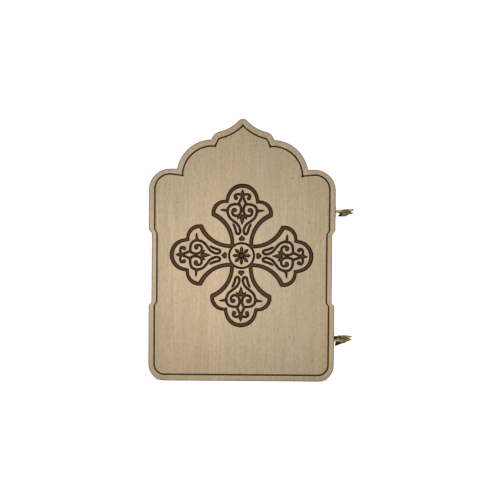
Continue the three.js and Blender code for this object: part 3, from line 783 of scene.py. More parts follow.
def turned_form(bm, profile, place, closed=False, wear=0.0):
    """A turned piece: radii and heights along an axis, closed to a tube or ending in poles."""
    layer = bm.verts.layers.float[WEAR_AND_HIGHLIGHT]
    rings = []
    for radius, travel in profile:
        sides = 1 if radius < MERGE else TURN_SIDES
        turns = (2 * math.pi * side / sides for side in range(sides))
        spots = ((radius * math.cos(turn), radius * math.sin(turn)) for turn in turns)
        ring = [bm.verts.new(place(a, b, travel)) for a, b in spots]
        for vertex in ring:
            vertex[layer] = wear
        rings.append(ring)
    for first, second in zip(rings, rings[1:] + (rings[:1] if closed else [])):
        if len(first) == len(second):
            bridge(bm, first, second)
            continue
        pole, ring = (first, second) if len(first) == 1 else (second, first)
        for index, vertex in enumerate(ring):
            bm.faces.new([pole[0], vertex, ring[(index + 1) % len(ring)]])


def upright(axis, base=0):
    """Sets a turned piece on an upright axis."""
    return lambda a, b, travel: (axis.x + a, axis.y + b, base + travel)


def add_knuckle(bm, bore, radius, low, high, place):
    """A tube with chamfered ends that turns on a pin."""
    neck = radius - KNUCKLE_CHAMFER
    profile = [
        (bore, low), (neck, low), (radius, low + KNUCKLE_CHAMFER),
        (radius, high - KNUCKLE_CHAMFER), (neck, high), (bore, high),
    ]
    turned_form(bm, profile, place, closed=True, wear=KNUCKLE_WEAR)


def rod_profile(radius, low, high):
    end = [(radius * out, radius * ROD_CROWN * rise) for out, rise in ROD_END]
    return [(out, low + rise) for out, rise in end] + [(out, high - rise) for out, rise in reversed(end)]


def add_nail(bm, radius, root, place):
    profile = [(radius * out, NAIL_RISE * rise) for out, rise in NAIL_DOME]
    profile += [(radius * out, root * rise) for out, rise in NAIL_SHANK]
    turned_form(bm, profile, place, wear=NAIL_WEAR)


def brass_mesh(name, build):
    """A mesh of brass, made by a function that fills it."""
    bm = bmesh.new()
    bm.verts.layers.float.new(WEAR_AND_HIGHLIGHT)
    bm.verts.layers.float.new(PAINTED_SHADE)
    build(bm)
    bmesh.ops.recalc_face_normals(bm, faces=bm.faces)
    return finished_mesh(name, bm)


def engraved_side(bm, ring, outline, support, cuts, place, depth):
    """Fills a ring of a leaf's edge with a flat side whose cuts are sunk, and marks the burnt parts."""
    burn = bm.loops.layers.float[BURN]
    polygons = [outline, support]
    first_cut = len(polygons)
    for cut in cuts:
        polygons += [cut.outline, *cut.holes]
    flat, triangles, _, owners = triangulated(polygons)
    sunk = edge_burns(owners, cuts, first_cut)
    distance_to_wall = nearest_lookup(edge_samples(flat, wall_edges(triangles, sunk), WALL_SAMPLE))
    floor = [triangle for triangle, edge_burn in zip(triangles, sunk) if edge_burn]
    loose = points_inside(flat, floor, FLOOR_SPACING, FLOOR_CLEARANCE, distance_to_wall)
    flat, triangles, sources, owners = triangulated(polygons, loose)
    sunk = edge_burns(owners, cuts, first_cut)

    top = {}
    bottom = {}
    for index, source in enumerate(sources):
        on_ring = [vertex for vertex in source if vertex < len(ring)]
        if on_ring:
            top[index] = ring[on_ring[0]]

    def vertex_at(level, index, sink):
        if index not in level:
            level[index] = bm.verts.new(place(flat[index], sink))
        return level[index]

    for triangle, edge_burn in zip(triangles, sunk):
        level, sink = (bottom, depth) if edge_burn else (top, 0)
        face = bm.faces.new([vertex_at(level, index, sink) for index in triangle])
        if edge_burn:
            for loop, index in zip(face.loops, triangle):
                edge = 1 - smooth_step((distance_to_wall(flat[index]) - CHARRED_EDGE) / EDGE_BURN_FADE)
                loop[burn] = FLOOR_BURN + (edge_burn - FLOOR_BURN) * edge
    for a, b in wall_edges(triangles, sunk):
        face = bm.faces.new([top[a], top[b], bottom[b], bottom[a]])
        for loop in face.loops:
            loop[burn] = EDGE_BURN


def bridge(bm, first, second):
    """Quads between two rings of the same number of points."""
    count = len(first)
    for index in range(count):
        following = (index + 1) % count
        bm.faces.new([first[index], first[following], second[following], second[index]])


def leaf_mesh(name, outer_y, inner_y, outer_cuts, inside_cuts, sizes):
    """A board with rounded arrises, engraved on both sides."""
    bm = bmesh.new()
    bm.loops.layers.float.new(BURN)
    toast = bm.loops.layers.float.new(TOAST_AND_EDGE_SHADE)
    into = math.copysign(1, inner_y - outer_y)
    arris = sizes.arris_radius / MM
    rounding = [
        (arris * (1 - math.sin(turn)), arris * (1 - math.cos(turn))) for turn in quarter_turn(ARRIS_STEPS)]
    levels = [(inset, outer_y + into * sink) for inset, sink in rounding]
    levels += [(inset, inner_y - into * sink) for inset, sink in reversed(rounding)]
    rings = [[bm.verts.new((x, y, z)) for x, z in leaf_outline(inset)] for inset, y in levels]
    for first, second in zip(rings, rings[1:]):
        bridge(bm, first, second)

    depth = sizes.engraved_depth / MM
    edge = leaf_outline(arris)
    support = leaf_outline(arris + SUPPORT_WIDTH)
    sides = ((rings[0], outer_y, into, outer_cuts), (rings[-1], inner_y, -into, inside_cuts))
    for ring, face_y, inwards, cuts in sides:
        def place(point, sink):
            return (point.x, face_y + inwards * sink, point.y)
        engraved_side(bm, ring, edge, support, cuts, place, depth)
    # Toast on the sides and arrises: charring of the cut, made darker on the arrises as painted shade
    for step, ring in enumerate(rings):
        share = min(step, len(rings) - 1 - step) / ARRIS_STEPS
        for loop in (loop for vertex in ring for loop in vertex.link_loops):
            loop[toast] = ARRIS_TOAST_AND_SHADE + (1 - ARRIS_TOAST_AND_SHADE) * share
    bmesh.ops.recalc_face_normals(bm, faces=bm.faces)
    return finished_mesh(name, bm)


def finished_mesh(name, bm):
    """A mesh in metres, smooth except at its sharp edges."""
    bmesh.ops.scale(bm, vec=(MM, MM, MM), verts=bm.verts)
    mesh = bpy.data.meshes.new(name)
    bm.to_mesh(mesh)
    bm.free()
    mesh.shade_smooth()
    mesh.set_sharp_from_angle(angle=SMOOTH_ANGLE)
    return mesh


def add_piece(name, mesh, material, body, node):
    """A piece of the diptych that stands for a solid of the frame and moves with its body."""
    piece = bpy.data.objects.new(name, mesh)
    bpy.context.scene.collection.objects.link(piece)
    mesh.materials.clear()
    mesh.materials.append(material)
    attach(piece, body)
    if node:
        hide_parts(node)


def length_property(name, description, default, low, high):
    """A length given in millimetres."""
    return FloatProperty(
        name=name, description=description, default=default * MM, min=low * MM, max=high * MM,
        unit="LENGTH", precision=5)


class DiptychSizes(bpy.types.PropertyGroup):
    """Sizes of the engraving and of the edges."""

    arris_radius: length_property("Arris radius", "Rounding of the boards' edges", 0.45, 0.1, 1)
    engraved_depth: length_property(
        "Engraved depth", "How deep the ornament is burnt into the wood", 0.5, 0.1, 1.5)
    border_inset: length_property(
        "Border inset", "From a leaf's edge to the middle of the border line", 3.4, 1.5, 4)
    border_width: length_property("Border width", "Width of the border line", 0.9, 0.2, 1.5)
    border_foot_extra: length_property(
        "Border foot extra", "How much further in the border runs along the foot", 0.25, 0, 2)
    border_shoulder_rise: length_property(
        "Border shoulder rise", "How much nearer the edge the border rounds the shoulders", 0.75, 0, 2)
    border_crown_drop: length_property(
        "Border crown drop", "How much lower the border runs under the crown", 0.31, 0, 2)
    border_waist_inset: length_property(
        "Border waist inset", "How far the border steps in at the waist", 1.35, 0, 2)
    scroll_width: length_property(
        "Scroll width", "Width of the scrolls that fill the cross", 1.52, 0.4, 1.8)
    cross_roll: FloatProperty(
        name="Cross roll", description="How far the cross on the front leaf is turned",
        default=math.radians(-0.5), min=math.radians(-6), max=math.radians(6), subtype="ANGLE")


def srgb(red, green, blue):
    """A colour picked as it looks on screen, as linear light."""
    def linear(value):
        share = value / 255
        return share / 12.92 if share <= 0.04045 else ((share + 0.055) / 1.055) ** 2.4
    return (linear(red), linear(green), linear(blue))


def colour_property(name, description, red, green, blue):
    return FloatVectorProperty(
        name=name, description=description, default=srgb(red, green, blue), min=0, max=1, size=3,
        subtype="COLOR")


class DiptychColours(bpy.types.PropertyGroup):
    """Colours of the wood, the burnt lines, the brass and the floor."""

    wood: colour_property("Wood", "Bare wood between the streaks", 187, 167, 136)
    wood_warm: colour_property("Warm streaks", "Pale pinkish streaks along the grain", 184, 162, 134)
    wood_grey: colour_property("Grey streaks", "Darker yellowish streaks along the grain", 174, 156, 121)
    wood_cloud: colour_property("Clouds", "Broad greyish bands along the grain", 177, 161, 135)
    wood_pore: colour_property("Pores", "Open pores of the wood", 132, 108, 80)
    # Charred cut sides, made darker so that it also stands in for the shade on the arrises
    toasted_and_edge_shade: colour_property("Toasted edge", "Sides of the boards, browned by the cutting", 82, 63, 49)
    burnt: colour_property("Burnt floor", "Middle of the burnt lines", 82, 54, 41)
    charred: colour_property("Charred edge", "Edges of the burnt lines", 30, 13, 7)
    # Clean brass, also used for the painted highlights on the clasp arms
    brass: colour_property("Brass", "Clean brass", 200, 178, 110)
    brass_dull: colour_property("Dull brass", "Tarnished brass", 116, 104, 73)
    # Painted shade for the hollows and crease of the clasp arms, also the colour of small specks of dirt
    grime: colour_property("Grime", "Dark dirt in the hollows of the brass", 34, 23, 17)
    floor: colour_property("Floor", "Pale floor of the stage", 247, 247, 246)


class Tree:
    """A node tree that is filled by short calls."""

    def __init__(self, tree):
        self.nodes = tree.nodes
        self.links = tree.links

    def add(self, kind, inputs=None, **settings):
        node = self.nodes.new(kind)
        for key, value in settings.items():
            setattr(node, key, value)
        for key, value in (inputs or {}).items():
            self.feed(node.inputs[key], value)
        return node

    def feed(self, socket, value):
        if isinstance(value, bpy.types.NodeSocket):
            self.links.new(value, socket)
        elif hasattr(value, "__len__") and socket.type == "RGBA":
            socket.default_value = (*value[:3], 1)
        else:
            socket.default_value = value

    def math(self, operation, *values):
        return self.add("ShaderNodeMath", dict(enumerate(values)), operation=operation).outputs[0]

    def mix(self, share, a, b):
        """Two colours mixed: their sockets come after those for numbers and vectors."""
        node = self.add("ShaderNodeMix", data_type="RGBA")
        for index, value in ((0, share), (6, a), (7, b)):
            self.feed(node.inputs[index], value)
        return node.outputs[2]

    def ramp(self, value, low, high, to_low=0.0, to_high=1.0):
        """A value moved smoothly from one range to another."""
        node = self.add("ShaderNodeMapRange", interpolation_type="SMOOTHSTEP")
        for index, number in enumerate((value, low, high, to_low, to_high)):
            self.feed(node.inputs[index], number)
        return node.outputs[0]

    def vector_math(self, operation, *values):
        return self.add("ShaderNodeVectorMath", dict(enumerate(values)), operation=operation).outputs[0]

    def noise(self, vector, pattern, output="Fac"):
        inputs = {
            "Vector": self.vector_math("MULTIPLY", vector, pattern.stretch), "Scale": pattern.scale,
            "Detail": pattern.detail, "Roughness": pattern.roughness,
        }
        return self.add("ShaderNodeTexNoise", inputs).outputs[output]

    def place(self):
        return self.add("ShaderNodeTexCoord").outputs["Object"]

    def attribute(self, name):
        return self.add("ShaderNodeAttribute", attribute_name=name).outputs["Fac"]

    def bump(self, height, settings):
        return self.add("ShaderNodeBump", {"Height": height, **settings}).outputs[0]


def node_group(name, inputs, outputs):
    """An empty shader group with named sockets, its tree, the values it is given and its results."""
    group = bpy.data.node_groups.new(name, "ShaderNodeTree")
    for in_out, sockets in (("INPUT", inputs), ("OUTPUT", outputs)):
        for socket, kind in sockets.items():
            group.interface.new_socket(name=socket, in_out=in_out, socket_type=f"NodeSocket{kind}")
    tree = Tree(group)
    return group, tree, tree.add("NodeGroupInput").outputs, tree.add("NodeGroupOutput").inputs


def new_material(name):
    """A plain material, its tree and its shader's inputs."""
    material = bpy.data.materials.new(name)
    material.use_nodes = True
    return material, Tree(material.node_tree), material.node_tree.nodes["Principled BSDF"].inputs


def grouped_material(name, group, values, shine, bump):
    """A material that shows a group with its own values."""
    material, tree, shader = new_material(name)
    for result in tree.add("ShaderNodeGroup", values, node_tree=group).outputs:
        if result.name == "Height":
            tree.feed(shader["Normal"], tree.bump(result, bump))
        else:
            tree.feed(shader[result.name], result)
    shader["Specular IOR Level"].default_value = shine
    return material


def board_grain(tree, shift):
    """Streaks, fibres, pores and pin holes of a plain-sawn board whose grain stands upright."""
    moved = tree.vector_math("ADD", tree.place(), shift)
    sway = tree.noise(moved, GRAIN_SWAY, "Color")
    board = tree.vector_math("MULTIPLY_ADD", sway, GRAIN_SWAY_REACH, moved)
    grain = {layer: tree.noise(board, pattern) for layer, pattern in GRAIN.items()}
    for layer, edges in GRAIN_EDGES.items():
        grain[layer] = tree.ramp(grain[layer], *edges)

    face_on = tree.add("ShaderNodeMapping", {
        "Vector": moved, "Scale": PIN_HOLE_STRETCH, "Rotation": (math.radians(90), 0, 0)})
    inputs = {"Vector": face_on.outputs[0], "Scale": PIN_HOLE_SCALE}
    cells = tree.add("ShaderNodeTexVoronoi", inputs, voronoi_dimensions="2D")
    chance = tree.add("ShaderNodeSeparateColor", {0: cells.outputs["Color"]}).outputs[0]
    chosen = tree.math("LESS_THAN", chance, PIN_HOLE_SHARE)
    dots = tree.ramp(cells.outputs["Distance"], *PIN_HOLE_EDGES)
    grain["Pin holes"] = tree.math("MULTIPLY", dots, chosen)
    return grain


def leaf_wood(colours):
    """Group for waxed pale hardwood with burnt-in lines, and toasted edges that are partly charring and
    partly painted shade.
    """
    name = "Leaf wood"
    if name in bpy.data.node_groups:
        return bpy.data.node_groups[name]
    group, tree, given, result = node_group(
        name, {"Shift": "Vector"}, {"Base Color": "Color", "Roughness": "Float", "Height": "Float"})
    grain = board_grain(tree, given["Shift"])

    def covered(colour, layer, tint):
        return tree.mix(tree.math("MULTIPLY", grain[layer], COVER[layer]), colour, tint)

    def fibre_range(low, high):
        return tree.ramp(grain["Fibres"], *NOISE_MIDDLE, low, high)

    colour = covered(colours.wood, "Streaks", colours.wood_grey)
    colour = covered(colour, "Warmth", colours.wood_warm)
    colour = covered(colour, "Clouds", colours.wood_cloud)
    mottle_tone = tree.ramp(grain["Mottle"], *NOISE_MIDDLE, *MOTTLE_TONES)
    tone = tree.math("MULTIPLY", fibre_range(*FIBRE_TONES), mottle_tone)
    colour = covered(tree.vector_math("MULTIPLY", colour, tone), "Pores", colours.wood_pore)
    # Charring of the cut edges, partly painted shade on the arrises
    toast = tree.math("MULTIPLY", tree.attribute(TOAST_AND_EDGE_SHADE), fibre_range(*TOAST_AND_SHADE_COVER))
    colour = covered(tree.mix(toast, colour, colours.toasted_and_edge_shade), "Pin holes", colours.burnt)

    burn = tree.attribute(BURN)
    soot = tree.noise(tree.place(), SOOT)
    uneven = tree.math("SUBTRACT", soot, NOISE_MEAN)
    char = tree.math("MULTIPLY_ADD", uneven, SOOT_SPREAD, tree.ramp(burn, FLOOR_BURN, EDGE_BURN))
    is_burnt = tree.ramp(burn, *BURNT_EDGES)
    burnt = tree.mix(tree.ramp(char, 0, 1), colours.burnt, colours.charred)
    tree.feed(result["Base Color"], tree.mix(is_burnt, colour, burnt))
    roughness = tree.math("MULTIPLY_ADD", is_burnt, BURNT_ROUGHNESS, fibre_range(*WOOD_ROUGHNESS))
    tree.feed(result["Roughness"], roughness)
    bare_height = tree.math("SUBTRACT", grain["Fibres"], grain["Pores"])
    soot_height = tree.math("MULTIPLY", soot, is_burnt)
    tree.feed(result["Height"], tree.math("MULTIPLY_ADD", soot_height, SOOT_HEIGHT, bare_height))
    return group


def old_brass(colours):
    """Group for old brass: bright where it is worn and at painted highlights, dark with painted shade in
    its hollows and with specks of dirt.
    """
    name = "Old brass"
    if name in bpy.data.node_groups:
        return bpy.data.node_groups[name]
    group, tree, given, result = node_group(
        name, {"Spread": "Float", "Roughness": "Float"},
        {"Base Color": "Color", "Metallic": "Float", "Roughness": "Float", "Height": "Float"})
    place = tree.place()
    low = tree.math("SUBTRACT", BLOTCH_START, given["Spread"])
    blotches = tree.ramp(tree.noise(place, BLOTCHES), low, tree.math("ADD", low, BLOTCH_FADE))
    specks = tree.ramp(tree.noise(place, SPECKS), *SPECK_EDGES)
    # Worn parts and painted highlights show clean brass
    dull = tree.math("MULTIPLY", blotches, tree.math("SUBTRACT", 1, tree.attribute(WEAR_AND_HIGHLIGHT)))
    # Painted shade from the sunk parts, together with specks of real dirt
    shade_and_specks = tree.math("MAXIMUM", tree.attribute(PAINTED_SHADE), tree.math("MULTIPLY", specks, SPECK_COVER))
    colour = tree.mix(dull, colours.brass, colours.brass_dull)
    tree.feed(result["Base Color"], tree.mix(shade_and_specks, colour, colours.grime))
    tree.feed(result["Metallic"], tree.math("SUBTRACT", 1, shade_and_specks))
    roughest = tree.math("ADD", given["Roughness"], DULL_ROUGHNESS)
    tree.feed(result["Roughness"], tree.ramp(dull, 0, 1, given["Roughness"], roughest))
    tree.feed(result["Height"], tree.noise(place, BRUSHING))
    return group


def brass(name, finish, colours):
    values = {"Spread": finish.spread, "Roughness": finish.roughness}
    return grouped_material(name, old_brass(colours), values, BRASS_SHINE, BRASS_BUMP)


def box_of(node):
    """Low and high corner of a solid of the frame, in millimetres."""
    return [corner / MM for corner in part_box(node)]


def middle_of(node):
    low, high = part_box(node)
    return (low + high) / 2 / MM


def prism_mesh(name, outline, low, high):
    """An upright prism over an outline in plan."""
    bm = bmesh.new()
    ends = [[bm.verts.new((x, y, z)) for x, y in outline] for z in (low, high)]
    for end in ends:
        bm.faces.new(end)
    bridge(bm, *ends)
    bmesh.ops.recalc_face_normals(bm, faces=bm.faces)
    return finished_mesh(name, bm)


def hinge_seat(place, inner_y, towards_wood):
    """The recess that lets one half of a hinge into a leaf."""
    pin_low, pin_high = box_of(f"{place}_hinge_pin")
    axis = middle_of(f"{place}_hinge_pin")
    knuckle = HINGE_KNUCKLE_RADIUS + SEAT_GAP * 2
    opening = inner_y - towards_wood * SEAT_OVERSHOOT
    under_knuckle = axis.y + towards_wood * knuckle
    under_plate = inner_y + towards_wood * (plate_thickness(place) + SEAT_GAP)
    right = box_of(f"{place}_hinge_back_plate")[1].x + SEAT_GAP
    outline = [
        (axis.x - knuckle, opening), (axis.x - knuckle, under_knuckle), (axis.x + knuckle, under_knuckle),
        (axis.x + knuckle, under_plate), (right, under_plate), (right, opening),
    ]
    return prism_mesh("seat", outline, pin_low.z - SEAT_GAP, pin_high.z + SEAT_GAP)


def plate_thickness(place):
    """Thickness of a hinge's plates, which lie no deeper in the wood than its knuckles."""
    plate_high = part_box(f"{place}_hinge_back_plate")[1].y / MM
    return min(plate_high, middle_of(f"{place}_hinge_pin").y + HINGE_KNUCKLE_RADIUS) - BACK_LOW.y


def clasp_seat(place):
    """The recess that lets a clasp's plate into the edge of the back leaf."""
    low, high = box_of(f"{place}_clasp_plate")
    opening = HALF_WIDTH + SEAT_OVERSHOOT
    outline = [
        (low.x, low.y - SEAT_GAP), (opening, low.y - SEAT_GAP),
        (opening, high.y + SEAT_GAP), (low.x, high.y + SEAT_GAP),
    ]
    return prism_mesh("seat", outline, low.z - SEAT_GAP, high.z + SEAT_GAP)


def cut_away(mesh, seats):
    """A mesh with recesses cut into it."""
    work = bpy.data.objects.new("work", mesh)
    cutters = [bpy.data.objects.new("cutter", seat) for seat in seats]
    for item in (work, *cutters):
        bpy.context.scene.collection.objects.link(item)
    for cutter in cutters:
        cut = work.modifiers.new("Seat", "BOOLEAN")
        cut.operation = "DIFFERENCE"
        cut.solver = "EXACT"
        cut.object = cutter
    depsgraph = bpy.context.evaluated_depsgraph_get()
    carved = bpy.data.meshes.new_from_object(work.evaluated_get(depsgraph))
    carved.name = mesh.name
    for item in (work, *cutters):
        bpy.data.objects.remove(item)
    if not (carved.attributes.get(BURN) and carved.attributes.get(TOAST_AND_EDGE_SHADE)):
        raise RuntimeError("the burnt parts were lost when the seats were cut")
    return carved


class DIPTYCH_OT_leaves(bpy.types.Operator):
    """Add the two engraved boards"""

    bl_idname = "diptych.leaves"
    bl_label = "Leaves"

    def execute(self, context):
        sizes = context.scene.diptych_sizes
        front = leaf_mesh(
            "front_leaf_board", FRONT_LOW.y, FRONT_HIGH.y, front_cuts(sizes), inner_cuts(sizes), sizes)
        back = leaf_mesh(
            "back_leaf_board", BACK_HIGH.y, BACK_LOW.y, back_cuts(sizes), inner_cuts(sizes), sizes)
        front = cut_away(front, [hinge_seat(place, FRONT_HIGH.y, -1) for place in PLACES])
        back = cut_away(back, [
            *(hinge_seat(place, BACK_LOW.y, 1) for place in PLACES),
            *(clasp_seat(place) for place in PLACES)])
        wood = leaf_wood(context.scene.diptych_colours)
        front_wood, back_wood = (
            grouped_material(name, wood, {"Shift": shift}, WOOD_SHINE, WOOD_BUMP)
            for name, shift in (("Front board wood", (0, 0, 0)), ("Back board wood", BACK_GRAIN_SHIFT)))
        add_piece("front_leaf_board", front, front_wood, "front_leaf", "front_leaf")
        add_piece("back_leaf_board", back, back_wood, "back_leaf", "back_leaf")
        return {"FINISHED"}


def add_pin(name, radius, material):
    """The pin of a hinge or clasp, held by the back leaf."""
    low, high = box_of(name)
    profile = rod_profile(radius, low.z, high.z)

    def build(bm):
        turned_form(bm, profile, upright(middle_of(name)), wear=PIN_WEAR)

    add_piece(f"{name}_brass", brass_mesh(name, build), material, "back_leaf", name)


def knuckle_span(low, high, index, gap):
    """Bottom and top of one knuckle along the pin, with a gap to its neighbours."""
    pitch = (high - low) / HINGE_KNUCKLES
    bottom = low + pitch * index + (gap if index > 0 else 0)
    top = low + pitch * (index + 1) - (gap if index < HINGE_KNUCKLES - 1 else 0)
    return bottom, top


def hinge_plate_outline(axis_x, right, low, high, is_mine):
    """One half of a hinge seen flat, its fingers reaching into the walls of its own knuckles."""
    radius = PLATE_CORNER
    outline = arc((right - radius, low + radius), radius, -90, 0, CORNER_STEPS)
    outline += arc((right - radius, high - radius), radius, 0, 90, CORNER_STEPS)
    for index in reversed(range(HINGE_KNUCKLES)):
        reach, gap = (HINGE_BORE_RADIUS, KNUCKLE_GAP) if is_mine(index) else (HINGE_PLATE_GAP, -KNUCKLE_GAP)
        bottom, top = knuckle_span(low, high, index, gap)
        outline += [Vector((axis_x + reach, top)), Vector((axis_x + reach, bottom))]
    return outline


def is_middle(knuckle):
    return knuckle == MIDDLE_KNUCKLE


def is_outer(knuckle):
    return knuckle != MIDDLE_KNUCKLE


class DIPTYCH_OT_hinges(bpy.types.Operator):
    """Add the two brass hinges"""

    bl_idname = "diptych.hinges"
    bl_label = "Hinges"

    def execute(self, context):
        colours = context.scene.diptych_colours
        dull = brass("Hinge brass", HINGE_FINISH, colours)
        bright = brass("Nail brass", NAIL_FINISH, colours)
        for place in PLACES:
            self.add_half(place, "front", FRONT_HIGH.y, -1, is_outer, dull, bright)
            self.add_half(place, "back", BACK_LOW.y, 1, is_middle, dull, bright)
            add_pin(f"{place}_hinge_pin", HINGE_PIN_RADIUS, bright)
        return {"FINISHED"}

    def add_half(self, place, side, inner_y, towards_wood, is_mine, dull, bright):
        name = f"{place}_hinge_{side}_plate"
        low, high = box_of(f"{place}_hinge_pin")
        axis = middle_of(f"{place}_hinge_pin")
        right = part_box(name)[1].x / MM
        half = plate_thickness(place) / 2
        middle = inner_y + towards_wood * half
        outline = hinge_plate_outline(axis.x, right, low.z, high.z, is_mine)

        def build(bm):
            plate_form(
                bm, outline, half, PLATE_ROUNDING, PLATE_SPACING,
                lambda point, height: (point.x, middle + height, point.y))
            for index in filter(is_mine, range(HINGE_KNUCKLES)):
                span = knuckle_span(low.z, high.z, index, KNUCKLE_GAP)
                add_knuckle(bm, HINGE_BORE_RADIUS, HINGE_KNUCKLE_RADIUS, *span, upright(axis))

        def build_nails(bm):
            left = axis.x + HINGE_PLATE_GAP + HINGE_NAIL_MARGIN
            for x in (left, right - HINGE_NAIL_MARGIN):
                for z in (low.z + HINGE_NAIL_MARGIN, high.z - HINGE_NAIL_MARGIN):
                    def outwards(a, b, travel):
                        return (x + a, inner_y - towards_wood * travel, z + b)
                    add_nail(bm, HINGE_NAIL_RADIUS, half, outwards)

        body = f"{side}_leaf"
        nails = f"{name}_nails"
        add_piece(f"{name}_brass", brass_mesh(name, build), dull, body, name)
        add_piece(nails, brass_mesh(nails, build_nails), bright, body, None)


def clasp_arm_outline(body):
    """Side view of a clasp arm: a neck, a claw and belly below, two prongs at the tip and a bowed back."""
    outline = [Vector((ARM_ROOT, -body.neck_depth)), Vector((body.claw_reach, -body.neck_depth))]

    def bow(control, end, steps=CURVE_STEPS):
        outline.extend(quadratic(outline[-1], control, end, steps))

    claw_top = body.claw_depth - ARM_CLAW_HEIGHT
    bow((body.throat_reach, -(body.neck_depth + claw_top) / 2), (body.claw_reach, -claw_top))
    heel = Vector((body.claw_reach + ARM_CLAW_WIDTH, -body.claw_depth))
    belly = Vector((body.belly_end, -body.belly_depth))
    outline += [Vector((body.claw_reach, -body.claw_depth)), heel]
    outline += [heel.lerp(belly, step / BELLY_STEPS) for step in range(1, BELLY_STEPS + 1)]
    belly_turn = (body.belly_end + ARM_LOWER_PRONG_START) / 2
    bow((belly_turn, -body.belly_depth), (ARM_LOWER_PRONG_START, -body.prong_depth))
    bow((ARM_LENGTH, -ARM_LOWER_PRONG_AT_TIP), (ARM_LENGTH, -ARM_SLOT_HALF))
    slot_bottom = ARM_LENGTH - ARM_SLOT_DEPTH
    bow((slot_bottom, -ARM_SLOT_HALF), (slot_bottom, 0))
    bow((slot_bottom, ARM_SLOT_HALF), (ARM_LENGTH, ARM_SLOT_HALF))
    bow((ARM_LENGTH, body.top_at_tip), (ARM_LENGTH - ARM_TIP_ROUNDING, body.top_at_tip), CURVE_STEPS // 2)
    bow((ARM_CROWN_REACH, body.crown), (body.shoulder_reach, body.shoulder))
    return outline + [Vector((body.claw_reach, body.neck_top)), Vector((ARM_ROOT, body.neck_top))]


def spot_share(spots, point):
    """1 in the middle of an oval spot, down to 0 at its edge and outside."""
    def share(spot):
        across, up = ((point[i] - spot.centre[i]) / spot.half_size[i] for i in (0, 1))
        return smooth_step(SPOT_FIRMNESS * (1 - across ** 2 - up ** 2))
    return max(share(spot) for spot in spots)


def clasp_arm_depth(place, point):
    """How far the front of an arm is sunk at a point: a parting line to the fork, and its hollows, which
    are also painted dark as shade.
    """
    parted = smooth_step((point.x - JAW_START) / JAW_FADE) * math.exp(-(point.y / JAW_WIDTH) ** 2)
    return max(JAW_DEPTH * parted, HOLLOW_DEPTH * spot_share(ARM_HOLLOWS[place], point))


class DIPTYCH_OT_clasps(bpy.types.Operator):
    """Add the two hook clasps and the studs they catch"""

    bl_idname = "diptych.clasps"
    bl_label = "Clasps"

    def execute(self, context):
        colours = context.scene.diptych_colours
        dull = brass("Clasp brass", CLASP_FINISH, colours)
        bright = brass("Stud brass", STUD_FINISH, colours)
        for place in PLACES:
            axis = middle_of(f"{place}_clasp_pin")
            self.add_plate(place, axis, dull, bright)
            self.add_arm(place, axis, dull)
            add_pin(f"{place}_clasp_pin", CLASP_PIN_RADIUS, bright)
            self.add_stud(place, bright)
        return {"FINISHED"}

    def add_plate(self, place, axis, dull, bright):
        name = f"{place}_clasp_plate"
        low, high = box_of(name)
        outer_x = low.x + CLASP_PLATE_THICKNESS
        half = CLASP_PLATE_THICKNESS / 2

        def build(bm):
            outline = rounded_rectangle((low.y, low.z), (high.y, high.z), PLATE_CORNER)
            plate_form(
                bm, outline, half, PLATE_ROUNDING, PLATE_SPACING,
                lambda point, height: (low.x + half + height, point.x, point.y))
            near, far = CLASP_LUG_HALF
            for bottom, top in ((near, far), (-far, -near)):
                add_knuckle(bm, CLASP_BORE_RADIUS, CLASP_KNUCKLE_RADIUS, bottom, top, upright(axis, axis.z))
                web = rounded_rectangle(
                    (low.x + half, axis.z + bottom + KNUCKLE_CHAMFER),
                    (axis.x - CLASP_BORE_RADIUS, axis.z + top - KNUCKLE_CHAMFER), KNUCKLE_CHAMFER)
                plate_form(
                    bm, web, CLASP_WEB_HALF, KNUCKLE_CHAMFER, PLATE_SPACING,
                    lambda point, height: (point.x, axis.y + height, point.y))

        def build_nails(bm):
            y, z = CLASP_NAIL_PLACE
            for side in (1, -1):
                def outwards(a, b, travel):
                    return (outer_x + travel, y + a, axis.z + side * z + b)
                add_nail(bm, CLASP_NAIL_RADIUS, half, outwards)

        nails = f"{name}_nails"
        add_piece(f"{name}_brass", brass_mesh(name, build), dull, "back_leaf", name)
        add_piece(nails, brass_mesh(nails, build_nails), bright, "back_leaf", None)

    def add_arm(self, place, axis, dull):
        name = f"{place}_clasp_arm"

        def build(bm):
            # Painted highlights on the upper prong, painted shade where the front is sunk
            plate_form(
                bm, clasp_arm_outline(ARM_BODIES[place]), ARM_HALF_THICKNESS, ARM_ROUNDING, ARM_SPACING,
                lambda point, height: (axis.x + point.x, axis.y - height, axis.z + point.y),
                lambda point: clasp_arm_depth(place, point),
                lambda point: spot_share(ARM_PAINTED_HIGHLIGHTS[place], point))
            span = (-CLASP_KNUCKLE_HALF, CLASP_KNUCKLE_HALF)
            add_knuckle(bm, CLASP_BORE_RADIUS, CLASP_KNUCKLE_RADIUS, *span, upright(axis, axis.z))

        add_piece(f"{name}_brass", brass_mesh(name, build), dull, name, name)

    def add_stud(self, place, bright):
        name = f"{place}_keeper_stud"
        middle = middle_of(name)
        end = box_of(name)[1].x
        head = end - STUD_HEAD_LENGTH
        root = HALF_WIDTH - STUD_ROOT
        profile = [
            (0, root), (STUD_SHANK_RADIUS, root), (STUD_SHANK_RADIUS, head),
            (STUD_HEAD_RADIUS, head + KNUCKLE_CHAMFER),
        ]
        dome = head + STUD_HEAD_LENGTH * STUD_DOME_START
        profile += [
            (STUD_HEAD_RADIUS * math.cos(turn), dome + (end - dome) * math.sin(turn))
            for turn in quarter_turn(STUD_DOME_STEPS)]

        def build(bm):
            turned_form(
                bm, profile, lambda a, b, travel: (travel, middle.y + a, middle.z + b), wear=STUD_WEAR)

        add_piece(f"{name}_brass", brass_mesh(name, build), bright, "front_leaf", name)


